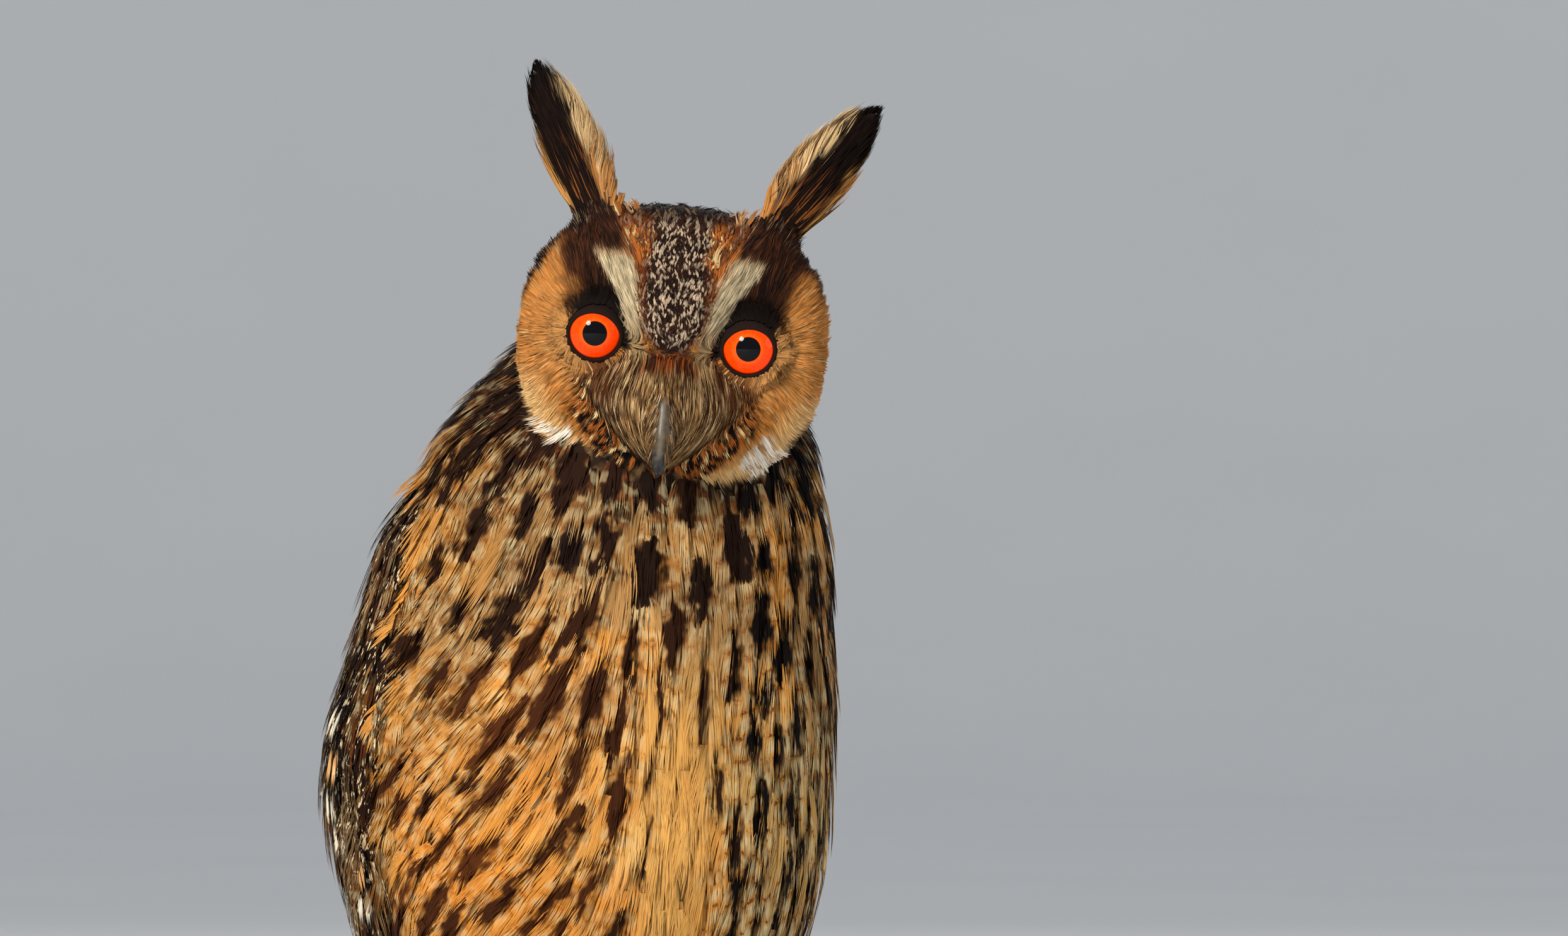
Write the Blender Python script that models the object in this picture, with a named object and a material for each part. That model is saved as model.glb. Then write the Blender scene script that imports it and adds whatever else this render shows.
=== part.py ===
"""A life-size long-eared owl gripping a cut length of branch on a plain display stand.

Metres, +Z up. The origin is the middle of the base's underside. The owl's body faces -Y with its
right side towards -X, and its head is turned to its right, rolled and bowed a little.
Heights of the owl are given above the top of the perch, and most sizes are in millimetres (MM).
"""

import math

import bmesh
import bpy
from mathutils import Matrix, Vector

MM = 0.001
GAP = 0.3 * MM

# Stand and perch
BASE_RADIUS = 112 * MM
BASE_THICKNESS = 14 * MM
BASE_BEVEL = 2 * MM
ROD_RADIUS = 4 * MM
ROD_OFFSET = 58 * MM
ROD_DEPTH_IN_PERCH = 8 * MM
PERCH_RADIUS = 17 * MM
PERCH_LENGTH = 186 * MM
PERCH_TOP = 122 * MM
PERCH_AXIS_Z = PERCH_TOP - PERCH_RADIUS

# Head pose: where the head sits in the body's frame, and how it is turned
HEAD_CENTRE = Vector((0, -26, 200)) * MM
HEAD_YAW = math.radians(-25.0)
HEAD_ROLL = math.radians(5.9)
HEAD_PITCH = math.radians(4.0)

# Head, in its own frame: X to the owl's left, -Y forward, Z up from the line between the eyes
HEAD_HALF_WIDTH = 38.0
HEAD_FACE_DEPTH = 22.0
HEAD_BACK_DEPTH = 35.0
HEAD_HALF_HEIGHT = 35.5
HEAD_MIDDLE_Z = -1.0
EYE_SPACING = 38.4
EYE_RADIUS = 9.5
EYE_DEPTH = -14.8
CORNEA_BULGE = 0.9

# The bill's spine in the head's frame: y, z, half width, half depth, down to its hooked tip
BILL_SPINE = [
    (-20, -8, 4.6, 5),
    (-26, -15, 4.4, 5),
    (-29.5, -22, 3.6, 4.2),
    (-31, -28, 2.5, 3),
    (-31.2, -32, 1.4, 1.8),
]
BILL_TIP = Vector((0, -30.6, -33.6))

# The face: how far the ridge from forehead to chin stands forward at a height, in the head's frame
FACE_RIDGE = [(36, 0), (24, 1.5), (10, 4), (-2, 6.5), (-13, 9), (-23, 9.5), (-31, 5), (-37, 0)]
BROW_RISE = 2.6
EYE_HOLLOW = 1.6
DISC_RIM_RISE = 1.6

# Ear tufts, in the head's frame: the left one leans out further than the right one
EAR_ROOT = Vector((21.5, -7.0, 27.5))
EAR_LENGTH = 43.5
EAR_LEAN = {1: math.radians(34.0), -1: math.radians(28.0)}
EAR_LEAN_BACK = 8.0
EAR_HALF_WIDTH = 9.0
EAR_HALF_THICKNESS = 3.4
# The tuft's outline: place along it, and its width and thickness as shares of the widest
EAR_OUTLINE = [
    (0, 0.75, 1),
    (0.2, 0.98, 1),
    (0.42, 1.0, 0.85),
    (0.65, 0.85, 0.65),
    (0.84, 0.55, 0.45),
    (0.95, 0.25, 0.3),
]

# The neck and trunk as horizontal ellipses: height, middle's x and y, half width, half depth
NECK_CUT = 166.0
TRUNK = [
    (214, 5, -4, 20, 17),
    (200, 4, 3, 33, 27),
    (187, 3, 7, 43, 34),
    (174, 1, 6, 52, 41),
    (160, 0, 6, 54.5, 47),
    (142, 0, 8, 57.5, 51),
    (125, 0, 11, 59, 53),
    (109, 0, 12, 60, 54),
    (93, 0, 13, 60, 54),
    (70, 0, 15, 59, 53),
    (50, 0, 18, 56, 50),
    (33, 0, 22, 48, 45),
    (20, 0, 27, 33, 35),
    (13, 0, 30, 15, 19),
]
TRUNK_POINTS = 24
TRUNK_STEP = 12.0

# Folded wings: height, middle's y, half width and half depth of the outer face, first and last angle
# from the front in degrees, thickness
WING = [
    (165.6, 9, 52, 45, 80, 118, 5),
    (157, 10, 58, 50, 78, 134, 9),
    (145, 12, 62, 54, 80, 148, 12),
    (122, 15, 67, 59, 84, 160, 14),
    (98, 19, 73, 64, 88, 166, 16),
    (76, 22, 72, 62, 94, 170, 16),
    (47, 28, 62, 54, 103, 173, 13),
    (20, 37, 50, 43, 112, 174, 10),
    (-10, 49, 38, 32, 122, 172, 6.5),
    (-40, 59, 28, 24, 130, 170, 5),
    (-66, 68, 21, 17.5, 138, 167, 4),
    (-82, 74, 14.5, 12.5, 146, 164, 2.6),
]
WING_ARC_POINTS = 8
WING_STEP = 16.0

# Tail: height, middle's y, half width, thickness
TAIL = [
    (62, 50, 15, 12),
    (40, 55, 18, 10),
    (10, 62, 20, 7),
    (-25, 69, 22.5, 5),
    (-60, 75, 25, 4),
    (-84, 79, 25, 3),
    (-93, 80.5, 20, 2.4),
    (-97, 81, 10, 1.8),
]
TAIL_ARC_POINTS = 8
TAIL_STEP = 17.0
TAIL_ARCH = 5.0

# Legs and feet
LEG_X = 20.0
# The leg's rows: height, middle's y, half width, half depth
LEG = [
    (40, 16, 17, 18),
    (30, 12, 15.5, 16.5),
    (20, 7, 12.5, 13.5),
    (12, 3, 9.5, 10.5),
    (5, 1, 7, 8),
]
ANKLE_HEIGHT = 5.5
# Toes: name, first and last angle over the perch in degrees with forward positive, sideways reach
TOES = [
    ("inner", 0, 74, -10),
    ("middle", 0, 84, 3),
    ("outer", 4, -52, 17),
    ("hind", -4, -60, -6),
]
TOE_ROOT_RADIUS = 5.2
TOE_END_RADIUS = 3.9
TALON_ANGLE = 38
TALON_ROOT_RADIUS = 2.3
TALON_TIP_RADIUS = 0.45

PLUMAGE = (0.62, 0.40, 0.18)
DARK_PLUMAGE = (0.16, 0.10, 0.06)
HORN = (0.05, 0.05, 0.05)
IRIS = (0.95, 0.22, 0.02)
BARK = (0.20, 0.16, 0.10)
STAND = (0.10, 0.10, 0.10)


def clear_scene():
    for obj in list(bpy.data.objects):
        bpy.data.objects.remove(obj)


def material(name, colour, roughness, metallic=0.0):
    made = bpy.data.materials.new(name)
    made.use_nodes = True
    shader = made.node_tree.nodes["Principled BSDF"]
    shader.inputs["Base Color"].default_value = (*colour, 1)
    shader.inputs["Roughness"].default_value = roughness
    shader.inputs["Metallic"].default_value = metallic
    return made


def add_object(name, mesh, look, parent=None):
    obj = bpy.data.objects.new(name, mesh)
    bpy.context.scene.collection.objects.link(obj)
    obj.data.materials.clear()
    obj.data.materials.append(look)
    obj.parent = parent
    obj.data.shade_smooth()
    return obj


def smooth_row(table, at):
    """The table's numbers at a first value, by a cubic curve through its rows."""
    rows = table if table[0][0] < table[-1][0] else table[::-1]
    at = min(max(at, rows[0][0]), rows[-1][0])
    i = max(k for k in range(len(rows) - 1) if rows[k][0] <= at)
    before, low, high, after = (rows[min(max(i + k, 0), len(rows) - 1)] for k in (-1, 0, 1, 2))
    span = high[0] - low[0]
    t = (at - low[0]) / span
    found = []
    for a, b, c, d in zip(before[1:], low[1:], high[1:], after[1:]):
        start = (c - a) * span / (high[0] - before[0])
        end = (d - b) * span / (after[0] - low[0])
        found.append(
            (2 * t**3 - 3 * t**2 + 1) * b
            + (t**3 - 2 * t**2 + t) * start
            + (3 * t**2 - 2 * t**3) * c
            + (t**3 - t**2) * end
        )
    return found


def heights(table, step):
    """Evenly spaced first values from the table's top to its bottom."""
    top, bottom = max(r[0] for r in table), min(r[0] for r in table)
    count = round((top - bottom) / step)
    return [top + (bottom - top) * k / count for k in range(count + 1)]


def loft(rings, start_tip=None, end_tip=None):
    """A closed mesh through rings of points, its ends closed flat or drawn to a tip."""
    bm = bmesh.new()
    loops = [[bm.verts.new(p) for p in ring] for ring in rings]
    for one, two in zip(loops, loops[1:]):
        for k in range(len(one)):
            n = (k + 1) % len(one)
            bm.faces.new((one[k], one[n], two[n], two[k]))
    for loop, tip in ((loops[0], start_tip), (loops[-1], end_tip)):
        if tip is None:
            bm.faces.new(loop)
            continue
        apex = bm.verts.new(tip)
        for k in range(len(loop)):
            bm.faces.new((loop[k], loop[(k + 1) % len(loop)], apex))
    bmesh.ops.recalc_face_normals(bm, faces=bm.faces)
    bmesh.ops.triangulate(bm, faces=bm.faces)
    mesh = bpy.data.meshes.new("loft")
    bm.to_mesh(mesh)
    bm.free()
    return mesh


def tube_rings(path, radii, points):
    """Rings of a round tube of changing radius along a path that never runs along X."""
    rings = []
    for k, centre in enumerate(path):
        ahead = (path[min(k + 1, len(path) - 1)] - path[max(k - 1, 0)]).normalized()
        up = ahead.cross(Vector((1, 0, 0))).normalized()
        side = up.cross(ahead)
        angles = (2 * math.pi * i / points for i in range(points))
        rings.append([centre + (side * math.cos(a) + up * math.sin(a)) * radii[k] for a in angles])
    return rings


def world_mesh(obj):
    """The object's evaluated mesh in world space."""
    bpy.context.view_layer.update()
    graph = bpy.context.evaluated_depsgraph_get()
    mesh = bpy.data.meshes.new_from_object(obj.evaluated_get(graph))
    mesh.transform(obj.matrix_world)
    return mesh


def swollen(mesh):
    """The mesh with every face moved out by the gap."""
    bm = bmesh.new()
    bm.from_mesh(mesh)
    bm.normal_update()
    moves = [v.normal * GAP * min(v.calc_shell_factor(), 8) for v in bm.verts]
    for vertex, move in zip(bm.verts, moves):
        vertex.co += move
    bm.to_mesh(mesh)
    bm.free()
    return mesh


def cut(target, *others, solver="EXACT"):
    """Cuts the other objects out of the target, with a gap left all round them."""
    for other in others:
        cutter = bpy.data.objects.new("cutter", swollen(world_mesh(other)))
        bpy.context.scene.collection.objects.link(cutter)
        change = target.modifiers.new("cut", "BOOLEAN")
        change.operation = "DIFFERENCE"
        change.solver = solver
        change.object = cutter
        apply_changes(target)
        bpy.data.objects.remove(cutter)


def apply_changes(obj):
    """Replaces the object's mesh by the one its modifiers make."""
    bpy.context.view_layer.update()
    graph = bpy.context.evaluated_depsgraph_get()
    made = bpy.data.meshes.new_from_object(obj.evaluated_get(graph))
    obj.modifiers.clear()
    obj.data = made


def bell(offset, width):
    return math.exp(-0.5 * (offset / width) ** 2)


def above_perch(x, y, z):
    return Vector((x * MM, y * MM, PERCH_TOP + z * MM))


def make_base(look):
    bm = bmesh.new()
    bmesh.ops.create_cone(
        bm, cap_ends=True, segments=48, radius1=BASE_RADIUS, radius2=BASE_RADIUS, depth=BASE_THICKNESS
    )
    bmesh.ops.translate(bm, verts=bm.verts, vec=(0, 0, BASE_THICKNESS / 2))
    rim = [e for e in bm.edges if all(v.co.z > BASE_THICKNESS * 0.9 for v in e.verts)]
    bmesh.ops.bevel(bm, geom=rim, offset=BASE_BEVEL, segments=2, affect="EDGES")
    mesh = bpy.data.meshes.new("base")
    bm.to_mesh(mesh)
    bm.free()
    return add_object("stand_base", mesh, look)


def make_rod(side, look):
    """A rod from the base up into the perch's underside."""
    foot, top = BASE_THICKNESS + GAP, PERCH_AXIS_Z - PERCH_RADIUS + ROD_DEPTH_IN_PERCH
    bm = bmesh.new()
    bmesh.ops.create_cone(
        bm, cap_ends=True, segments=16, radius1=ROD_RADIUS, radius2=ROD_RADIUS, depth=top - foot
    )
    bmesh.ops.translate(bm, verts=bm.verts, vec=(side * ROD_OFFSET, 0, (foot + top) / 2))
    mesh = bpy.data.meshes.new("rod")
    bm.to_mesh(mesh)
    bm.free()
    return add_object("stand_rod_left" if side > 0 else "stand_rod_right", mesh, look)


def perch_surface(x, angle):
    """A point on the bark at a place along the branch, with the angle counted from the top."""
    along = x / PERCH_LENGTH
    swell = 0.5 * math.sin(3 * angle + 9 * along) + 0.35 * math.sin(5 * angle - 14 * along)
    knot = 2.2 * bell(along + 0.36, 0.05) * bell((angle % (2 * math.pi)) - 4.0, 0.5)
    radius = PERCH_RADIUS + (swell - 0.8 + knot) * MM
    bend = 2.0 * MM * math.sin(2.6 * along + 0.4)
    return Vector((x, -radius * math.sin(angle) + bend, PERCH_AXIS_Z + radius * math.cos(angle)))


def make_perch(look):
    count, points = 12, 16
    rings = [
        [
            perch_surface(PERCH_LENGTH * (k / count - 0.5), 2 * math.pi * i / points)
            for i in range(points)
        ]
        for k in range(count + 1)
    ]
    return add_object("perch", loft(rings), look)


def trunk_ring(height):
    x, y, half_width, half_depth = smooth_row(TRUNK, height)
    angles = (2 * math.pi * k / TRUNK_POINTS for k in range(TRUNK_POINTS))
    return [
        above_perch(x + half_width * math.sin(a), y - half_depth * math.cos(a), height)
        for a in angles
    ]


def make_trunk(look):
    """The body from the neck's cut down to the vent."""
    rows = [NECK_CUT] + [h for h in heights(TRUNK, TRUNK_STEP) if h < NECK_CUT - 2]
    bottom, x, y = TRUNK[-1][:3]
    tip = above_perch(x, y + 1, bottom - 3)
    return add_object("trunk", loft([trunk_ring(h) for h in rows], end_tip=tip), look)


def make_neck(look):
    top = TRUNK[0][0]
    count = 6
    floor = NECK_CUT + GAP / MM
    rows = [floor + (top - floor) * k / count for k in range(count + 1)]
    x, y = TRUNK[0][1:3]
    tip = above_perch(x, y, top + 4)
    return add_object("neck", loft([trunk_ring(h) for h in rows], end_tip=tip), look)


def wing_ring(side, height):
    """A thin curved slice of the folded wing that wraps round the flank."""
    middle, half_width, half_depth, first, last, thickness = smooth_row(WING, height)
    outer, inner = [], []
    for k in range(WING_ARC_POINTS):
        share = k / (WING_ARC_POINTS - 1)
        a = math.radians(first + (last - first) * share)
        from_middle = abs(2 * share - 1)
        sink = 0.55 * thickness * from_middle**2.6
        deep = sink + thickness * (1 - 0.88 * from_middle**3)
        for arc, depth in ((outer, sink), (inner, deep)):
            x = (half_width - depth) * math.sin(a)
            y = middle - (half_depth - depth) * math.cos(a)
            arc.append(above_perch(side * x, y, height))
    return outer + inner[::-1]


def make_wing(side, look):
    rings = [wing_ring(side, h) for h in heights(WING, WING_STEP)]
    tip = sum(rings[-1], Vector()) / len(rings[-1]) - Vector((0, 0, 5 * MM))
    return add_object("wing_left" if side > 0 else "wing_right", loft(rings, end_tip=tip), look)


def make_tail(look):
    rings = []
    for height in heights(TAIL, TAIL_STEP):
        middle, half_width, thickness = smooth_row(TAIL, height)
        edge = []
        for k in range(TAIL_ARC_POINTS):
            share = 2 * k / (TAIL_ARC_POINTS - 1) - 1
            arch = -TAIL_ARCH * share**2 * half_width / 25
            thin = thickness / 2 * (1 - 0.7 * share**2)
            edge.append((share * half_width, middle + arch, thin))
        back = [above_perch(x, y + thin, height) for x, y, thin in edge]
        front = [above_perch(x, y - thin, height) for x, y, thin in edge]
        rings.append(back + front[::-1])
    return add_object("tail", loft(rings), look)


def face_relief(x, z):
    """How far the face stands forward of the plain head at a place, in millimetres."""
    ridge = smooth_row(FACE_RIDGE, z)[0] * bell(x, 7.5 + 3.5 * bell(z + 18, 10))
    side = abs(x)
    from_brow_line = side - (5 + 0.62 * max(z, 0))
    brow = BROW_RISE * bell(from_brow_line, 4) * bell(z - 16, 12)
    hollow = EYE_HOLLOW * bell(math.hypot(side - EYE_SPACING / 2, z), 8)
    rim = DISC_RIM_RISE * bell(math.hypot(side / 37, z / 33) - 0.96, 0.07)
    return ridge + brow - hollow + rim


def head_point(around, from_front):
    """A point on the head: around the face, and away from its middle, both in radians."""
    n = Vector(
        (
            math.sin(from_front) * math.cos(around),
            -math.cos(from_front),
            math.sin(from_front) * math.sin(around),
        )
    )
    front = n.y < 0
    depth = HEAD_FACE_DEPTH if front else HEAD_BACK_DEPTH
    power = 2.4 - 0.3 * max(n.y, 0)
    reach = (
        abs(n.x / HEAD_HALF_WIDTH) ** power
        + abs(n.y / depth) ** power
        + abs(n.z / HEAD_HALF_HEIGHT) ** power
    ) ** (-1 / power)
    p = n * reach
    flare = 1.0 + 0.055 * bell(p.y + 9, 5) * (1 - 0.6 * max(n.z, 0))
    p.x *= flare
    p.z *= flare
    p.z += HEAD_MIDDLE_Z
    if front:
        p.y -= face_relief(p.x, p.z) * min(1, -p.y / 8)
    return p * MM


def make_head(look, frame):
    rings_count, points = 18, 28
    rings = [
        [head_point(2 * math.pi * i / points, math.pi * k / rings_count) for i in range(points)]
        for k in range(1, rings_count)
    ]
    face, nape = head_point(0, 0), head_point(0, math.pi)
    return add_object("head", loft(rings, face, nape), look, frame)


def make_ear(side, look, frame):
    """An ear tuft: a leaf-shaped lobe that leans outwards."""
    root = EAR_ROOT * Vector((side, 1, 1))
    lean = EAR_LEAN[side]
    tip = root + Vector((side * math.sin(lean) * EAR_LENGTH, EAR_LEAN_BACK, math.cos(lean) * EAR_LENGTH))
    along = (tip - root).normalized()
    across = along.cross(Vector((0.25 * side, -1, 0))).normalized()
    through = along.cross(across)
    points = 10
    rings = []
    for place, wide, thick in EAR_OUTLINE:
        centre = root.lerp(tip, place)
        ring = []
        for i in range(points):
            a = 2 * math.pi * i / points
            sideways = across * math.cos(a) * EAR_HALF_WIDTH * wide
            ring.append((centre + sideways + through * math.sin(a) * EAR_HALF_THICKNESS * thick) * MM)
        rings.append(ring)
    name = "ear_tuft_left" if side > 0 else "ear_tuft_right"
    return add_object(name, loft(rings, end_tip=tip * MM), look, frame)


def make_eye(side, look, frame):
    """An eyeball with a slightly domed cornea, looking along -Y."""
    bm = bmesh.new()
    bmesh.ops.create_uvsphere(bm, u_segments=16, v_segments=10, radius=EYE_RADIUS)
    for v in bm.verts:
        v.co = Vector((v.co.x, -v.co.z, v.co.y))
        v.co.y -= CORNEA_BULGE * max(0, -v.co.y / EYE_RADIUS - 0.55) / 0.45
        v.co *= MM
    mesh = bpy.data.meshes.new("eye")
    bm.to_mesh(mesh)
    bm.free()
    eye = add_object("eye_left" if side > 0 else "eye_right", mesh, look, frame)
    eye.location = Vector((side * EYE_SPACING / 2, EYE_DEPTH, 0)) * MM
    return eye


def make_upper_bill(look, frame):
    """The hooked upper bill, from under the bristles to its tip."""
    points = 14
    rings = []
    for y, z, half_width, half_depth in BILL_SPINE:
        lean = math.radians(35 - 1.6 * (z + 34))
        ring = []
        for i in range(points):
            a = 2 * math.pi * i / points
            keel = 1 + 0.25 * max(0, -math.sin(a)) ** 3
            offset = half_depth * math.sin(a) * keel
            forward, up = offset * math.cos(lean), offset * math.sin(lean)
            ring.append(Vector((half_width * math.cos(a), y + forward, z + up)) * MM)
        rings.append(ring)
    return add_object("bill_upper", loft(rings, end_tip=BILL_TIP * MM), look, frame)


def make_leg(side, look):
    """The feathered thigh and shank down to the ankle."""
    points = 16
    rings = []
    for height in heights(LEG, 7):
        middle, half_width, half_depth = smooth_row(LEG, height)
        angles = (2 * math.pi * i / points for i in range(points))
        rings.append(
            [
                above_perch(
                    side * LEG_X + half_width * math.cos(a), middle + half_depth * math.sin(a), height
                )
                for a in angles
            ]
        )
    return add_object("leg_left" if side > 0 else "leg_right", loft(rings), look)


def over_perch(x, angle, distance):
    """A point round the perch's axis, with the angle in degrees and forward of the top positive."""
    a = math.radians(angle)
    return Vector((x * MM, -distance * MM * math.sin(a), PERCH_AXIS_Z + distance * MM * math.cos(a)))


def toe_path(side, first, last, reach, steps=7):
    """Centres and radii of a toe that bends over the perch."""
    path, radii = [], []
    for k in range(steps + 1):
        share = k / steps
        radius = TOE_ROOT_RADIUS + (TOE_END_RADIUS - TOE_ROOT_RADIUS) * share
        pad = 1 + 0.09 * math.cos(2 * math.pi * 2.5 * share)
        x = side * (LEG_X + reach * share**0.8)
        distance = PERCH_RADIUS / MM + radius - 0.6 + 1.5 * (1 - share)
        path.append(over_perch(x, first + (last - first) * share, distance))
        radii.append(radius * pad * MM)
    return path, radii


def make_foot(side, look):
    """Four feathered toes and the ankle as one body."""
    bm = bmesh.new()
    for _, first, last, reach in TOES:
        path, radii = toe_path(side, first, last, reach)
        way = (path[-1] - path[-2]).normalized()
        tip = path[-1] + way * TOE_END_RADIUS * 0.3 * MM
        bm.from_mesh(loft(tube_rings(path, radii, 10), path[0] - Vector((0, 0, MM)), tip))
    ankle = Matrix.Translation(above_perch(side * LEG_X, 0, ANKLE_HEIGHT - 1))
    bmesh.ops.create_uvsphere(bm, u_segments=12, v_segments=8, radius=7 * MM, matrix=ankle)
    mesh = bpy.data.meshes.new("foot")
    bm.to_mesh(mesh)
    bm.free()
    foot = add_object("foot_left" if side > 0 else "foot_right", mesh, look)
    joined = foot.modifiers.new("joined", "REMESH")
    joined.mode = "VOXEL"
    joined.voxel_size = 1.1 * MM
    fewer = foot.modifiers.new("fewer", "DECIMATE")
    fewer.ratio = 0.05
    apply_changes(foot)
    return foot


def make_talon(side, toe, look):
    """A curved claw that carries on from a toe's end round the perch."""
    name, first, last, reach = toe
    path, _ = toe_path(side, first, last, reach)
    forward = 1 if last > first else -1
    steps = 4
    points, radii = [], []
    for k in range(steps + 1):
        share = k / steps
        angle = last + forward * (TALON_ANGLE * share - 1)
        distance = PERCH_RADIUS / MM + TOE_END_RADIUS + 0.3 - 2.6 * share**1.6
        points.append(over_perch(path[-1].x / MM, angle, distance))
        radii.append((TALON_ROOT_RADIUS + (TALON_TIP_RADIUS - TALON_ROOT_RADIUS) * share) * MM)
    tip = points[-1] + (points[-1] - points[-2]).normalized() * MM
    side_name = "left" if side > 0 else "right"
    return add_object(f"talon_{side_name}_{name}", loft(tube_rings(points, radii, 7), end_tip=tip), look)


def main():
    clear_scene()
    plumage = material("plumage", PLUMAGE, 0.85)
    dark = material("dark_plumage", DARK_PLUMAGE, 0.8)
    horn = material("horn", HORN, 0.35)
    iris = material("iris", IRIS, 0.08)
    bark = material("bark", BARK, 0.9)
    stand = material("stand", STAND, 0.4)

    head_frame = bpy.data.objects.new("head_frame", None)
    bpy.context.scene.collection.objects.link(head_frame)
    head_frame.matrix_world = (
        Matrix.Translation(HEAD_CENTRE + Vector((0, 0, PERCH_TOP)))
        @ Matrix.Rotation(HEAD_YAW, 4, "Z")
        @ Matrix.Rotation(HEAD_ROLL, 4, "Y")
        @ Matrix.Rotation(HEAD_PITCH, 4, "X")
    )

    head = make_head(plumage, head_frame)
    ears = [make_ear(side, dark, head_frame) for side in (1, -1)]
    eyes = [make_eye(side, iris, head_frame) for side in (1, -1)]
    bill = make_upper_bill(horn, head_frame)
    neck = make_neck(dark)
    cut(neck, head)
    cut(head, *ears, *eyes, bill)
    trunk = make_trunk(plumage)
    wings = [make_wing(side, dark) for side in (1, -1)]
    tail = make_tail(dark)
    cut(trunk, head, *wings, tail)
    for wing in wings:
        cut(wing, tail)
    legs = [make_leg(side, plumage) for side in (1, -1)]
    feet = []
    talons = []
    for side, leg in zip((1, -1), legs):
        cut(leg, trunk, *wings, tail)
        foot = make_foot(side, plumage)
        claws = [make_talon(side, toe, horn) for toe in TOES]
        cut(foot, *claws, leg, solver="MANIFOLD")
        feet.append(foot)
        talons += claws

    rods = [make_rod(side, stand) for side in (1, -1)]
    perch = make_perch(bark)
    cut(perch, *feet, *talons, *rods)
    make_base(stand)


main()
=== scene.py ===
"""The looks of a life-size long-eared owl on a display stand: skin, feathers, eyes, bark and light.

Metres, in the solids' own frame. Places on the owl are in millimetres: heights on the body are above
the top of the perch, and places on the head are in the head's frame, with X to the owl's left, -Y
forward and Z up from the line between the eyes. Colours are named as seen in daylight and kept in
linear light.
"""

import math

import bmesh
import bpy
import numpy as np
from mathutils import Matrix, Vector
from mathutils.bvhtree import BVHTree


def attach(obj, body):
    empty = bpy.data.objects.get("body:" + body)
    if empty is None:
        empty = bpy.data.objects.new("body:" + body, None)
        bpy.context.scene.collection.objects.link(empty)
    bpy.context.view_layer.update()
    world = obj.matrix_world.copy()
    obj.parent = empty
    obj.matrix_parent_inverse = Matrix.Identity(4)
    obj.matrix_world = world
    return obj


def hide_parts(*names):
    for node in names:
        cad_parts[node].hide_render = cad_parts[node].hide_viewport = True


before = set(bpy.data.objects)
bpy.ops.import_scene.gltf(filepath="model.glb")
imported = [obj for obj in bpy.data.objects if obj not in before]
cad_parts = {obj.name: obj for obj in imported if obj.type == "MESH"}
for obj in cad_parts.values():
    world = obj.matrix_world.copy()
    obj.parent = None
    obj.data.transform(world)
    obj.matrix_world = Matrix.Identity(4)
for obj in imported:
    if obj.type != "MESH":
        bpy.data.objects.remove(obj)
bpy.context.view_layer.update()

MM = 0.001
PERCH_TOP = 0.122
PERCH_AXIS = PERCH_TOP - 0.017
HEAD_CENTRE = Vector((0, -0.026, 0.200 + PERCH_TOP))
HEAD_MATRIX = (
    Matrix.Translation(HEAD_CENTRE)
    @ Matrix.Rotation(math.radians(-25.0), 4, "Z")
    @ Matrix.Rotation(math.radians(5.9), 4, "Y")
    @ Matrix.Rotation(math.radians(4.0), 4, "X")
)
HEAD_TURN = np.array(HEAD_MATRIX.to_3x3())
HEAD_ORIGIN = np.array(HEAD_CENTRE)

EYE_X = 19.2
EYE_Y = -14.8
EYE_RADIUS = 9.5
CORNEA_BULGE = 0.9
IRIS_RADIUS = 6.45
PUPIL_RADIUS = 3.1

EAR_ROOT = np.array([21.5, -7.0, 27.5])
EAR_LENGTH = 43.5
EAR_LEAN = {1: math.radians(34.0), -1: math.radians(28.0)}
EAR_LEAN_BACK = 8.0
EAR_HALF_WIDTH = 9.0

FLESH = [
    "head", "neck", "trunk", "tail", "wing_left", "wing_right", "ear_tuft_left", "ear_tuft_right",
    "leg_left", "leg_right", "foot_left", "foot_right",
]
# The skin also runs on inside the bill, where the bristles that lie over the bill are rooted
UNDER_COAT = [*FLESH, "bill_upper"]
# How far the skin lies under the feather tips, in millimetres
COAT_DEPTH = {
    "head": 1.5, "neck": 4.0, "trunk": 4.5, "tail": 0.7, "wing_left": 1.6, "wing_right": 1.6,
    "ear_tuft_left": 2.0, "ear_tuft_right": 2.0, "leg_left": 2.2, "leg_right": 2.2,
    "foot_left": 0.8, "foot_right": 0.8, "bill_upper": 1.3,
}
SKIN_VOXEL = 1.7 * MM
MOST_TRIANGLES = 190_000
PATCH = 0.003


def rgb(red, green, blue):
    """A colour as seen in daylight, in linear light."""
    c = np.array([red, green, blue])
    return np.where(c <= 0.04045, c / 12.92, ((c + 0.055) / 1.055) ** 2.4)


GOLD = rgb(0.80, 0.57, 0.28)
ORANGE = rgb(0.80, 0.52, 0.21)
CREAM = rgb(0.90, 0.79, 0.58)
PALE = rgb(0.84, 0.81, 0.74)
WHITE = rgb(0.85, 0.81, 0.75)
BUFF = rgb(0.68, 0.53, 0.34)
STRAW = rgb(0.80, 0.65, 0.40)
OVAL = rgb(0.80, 0.75, 0.60)
FLECK = rgb(0.88, 0.80, 0.66)
THIN_LINE = rgb(0.48, 0.26, 0.11)
WARM_BROWN = rgb(0.36, 0.20, 0.08)
DARK = rgb(0.17, 0.10, 0.07)
BLACKISH = rgb(0.09, 0.06, 0.05)
RUFOUS = rgb(0.55, 0.27, 0.09)
LEG_BUFF = rgb(0.84, 0.66, 0.40)
NAPE = rgb(0.16, 0.11, 0.08)

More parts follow.
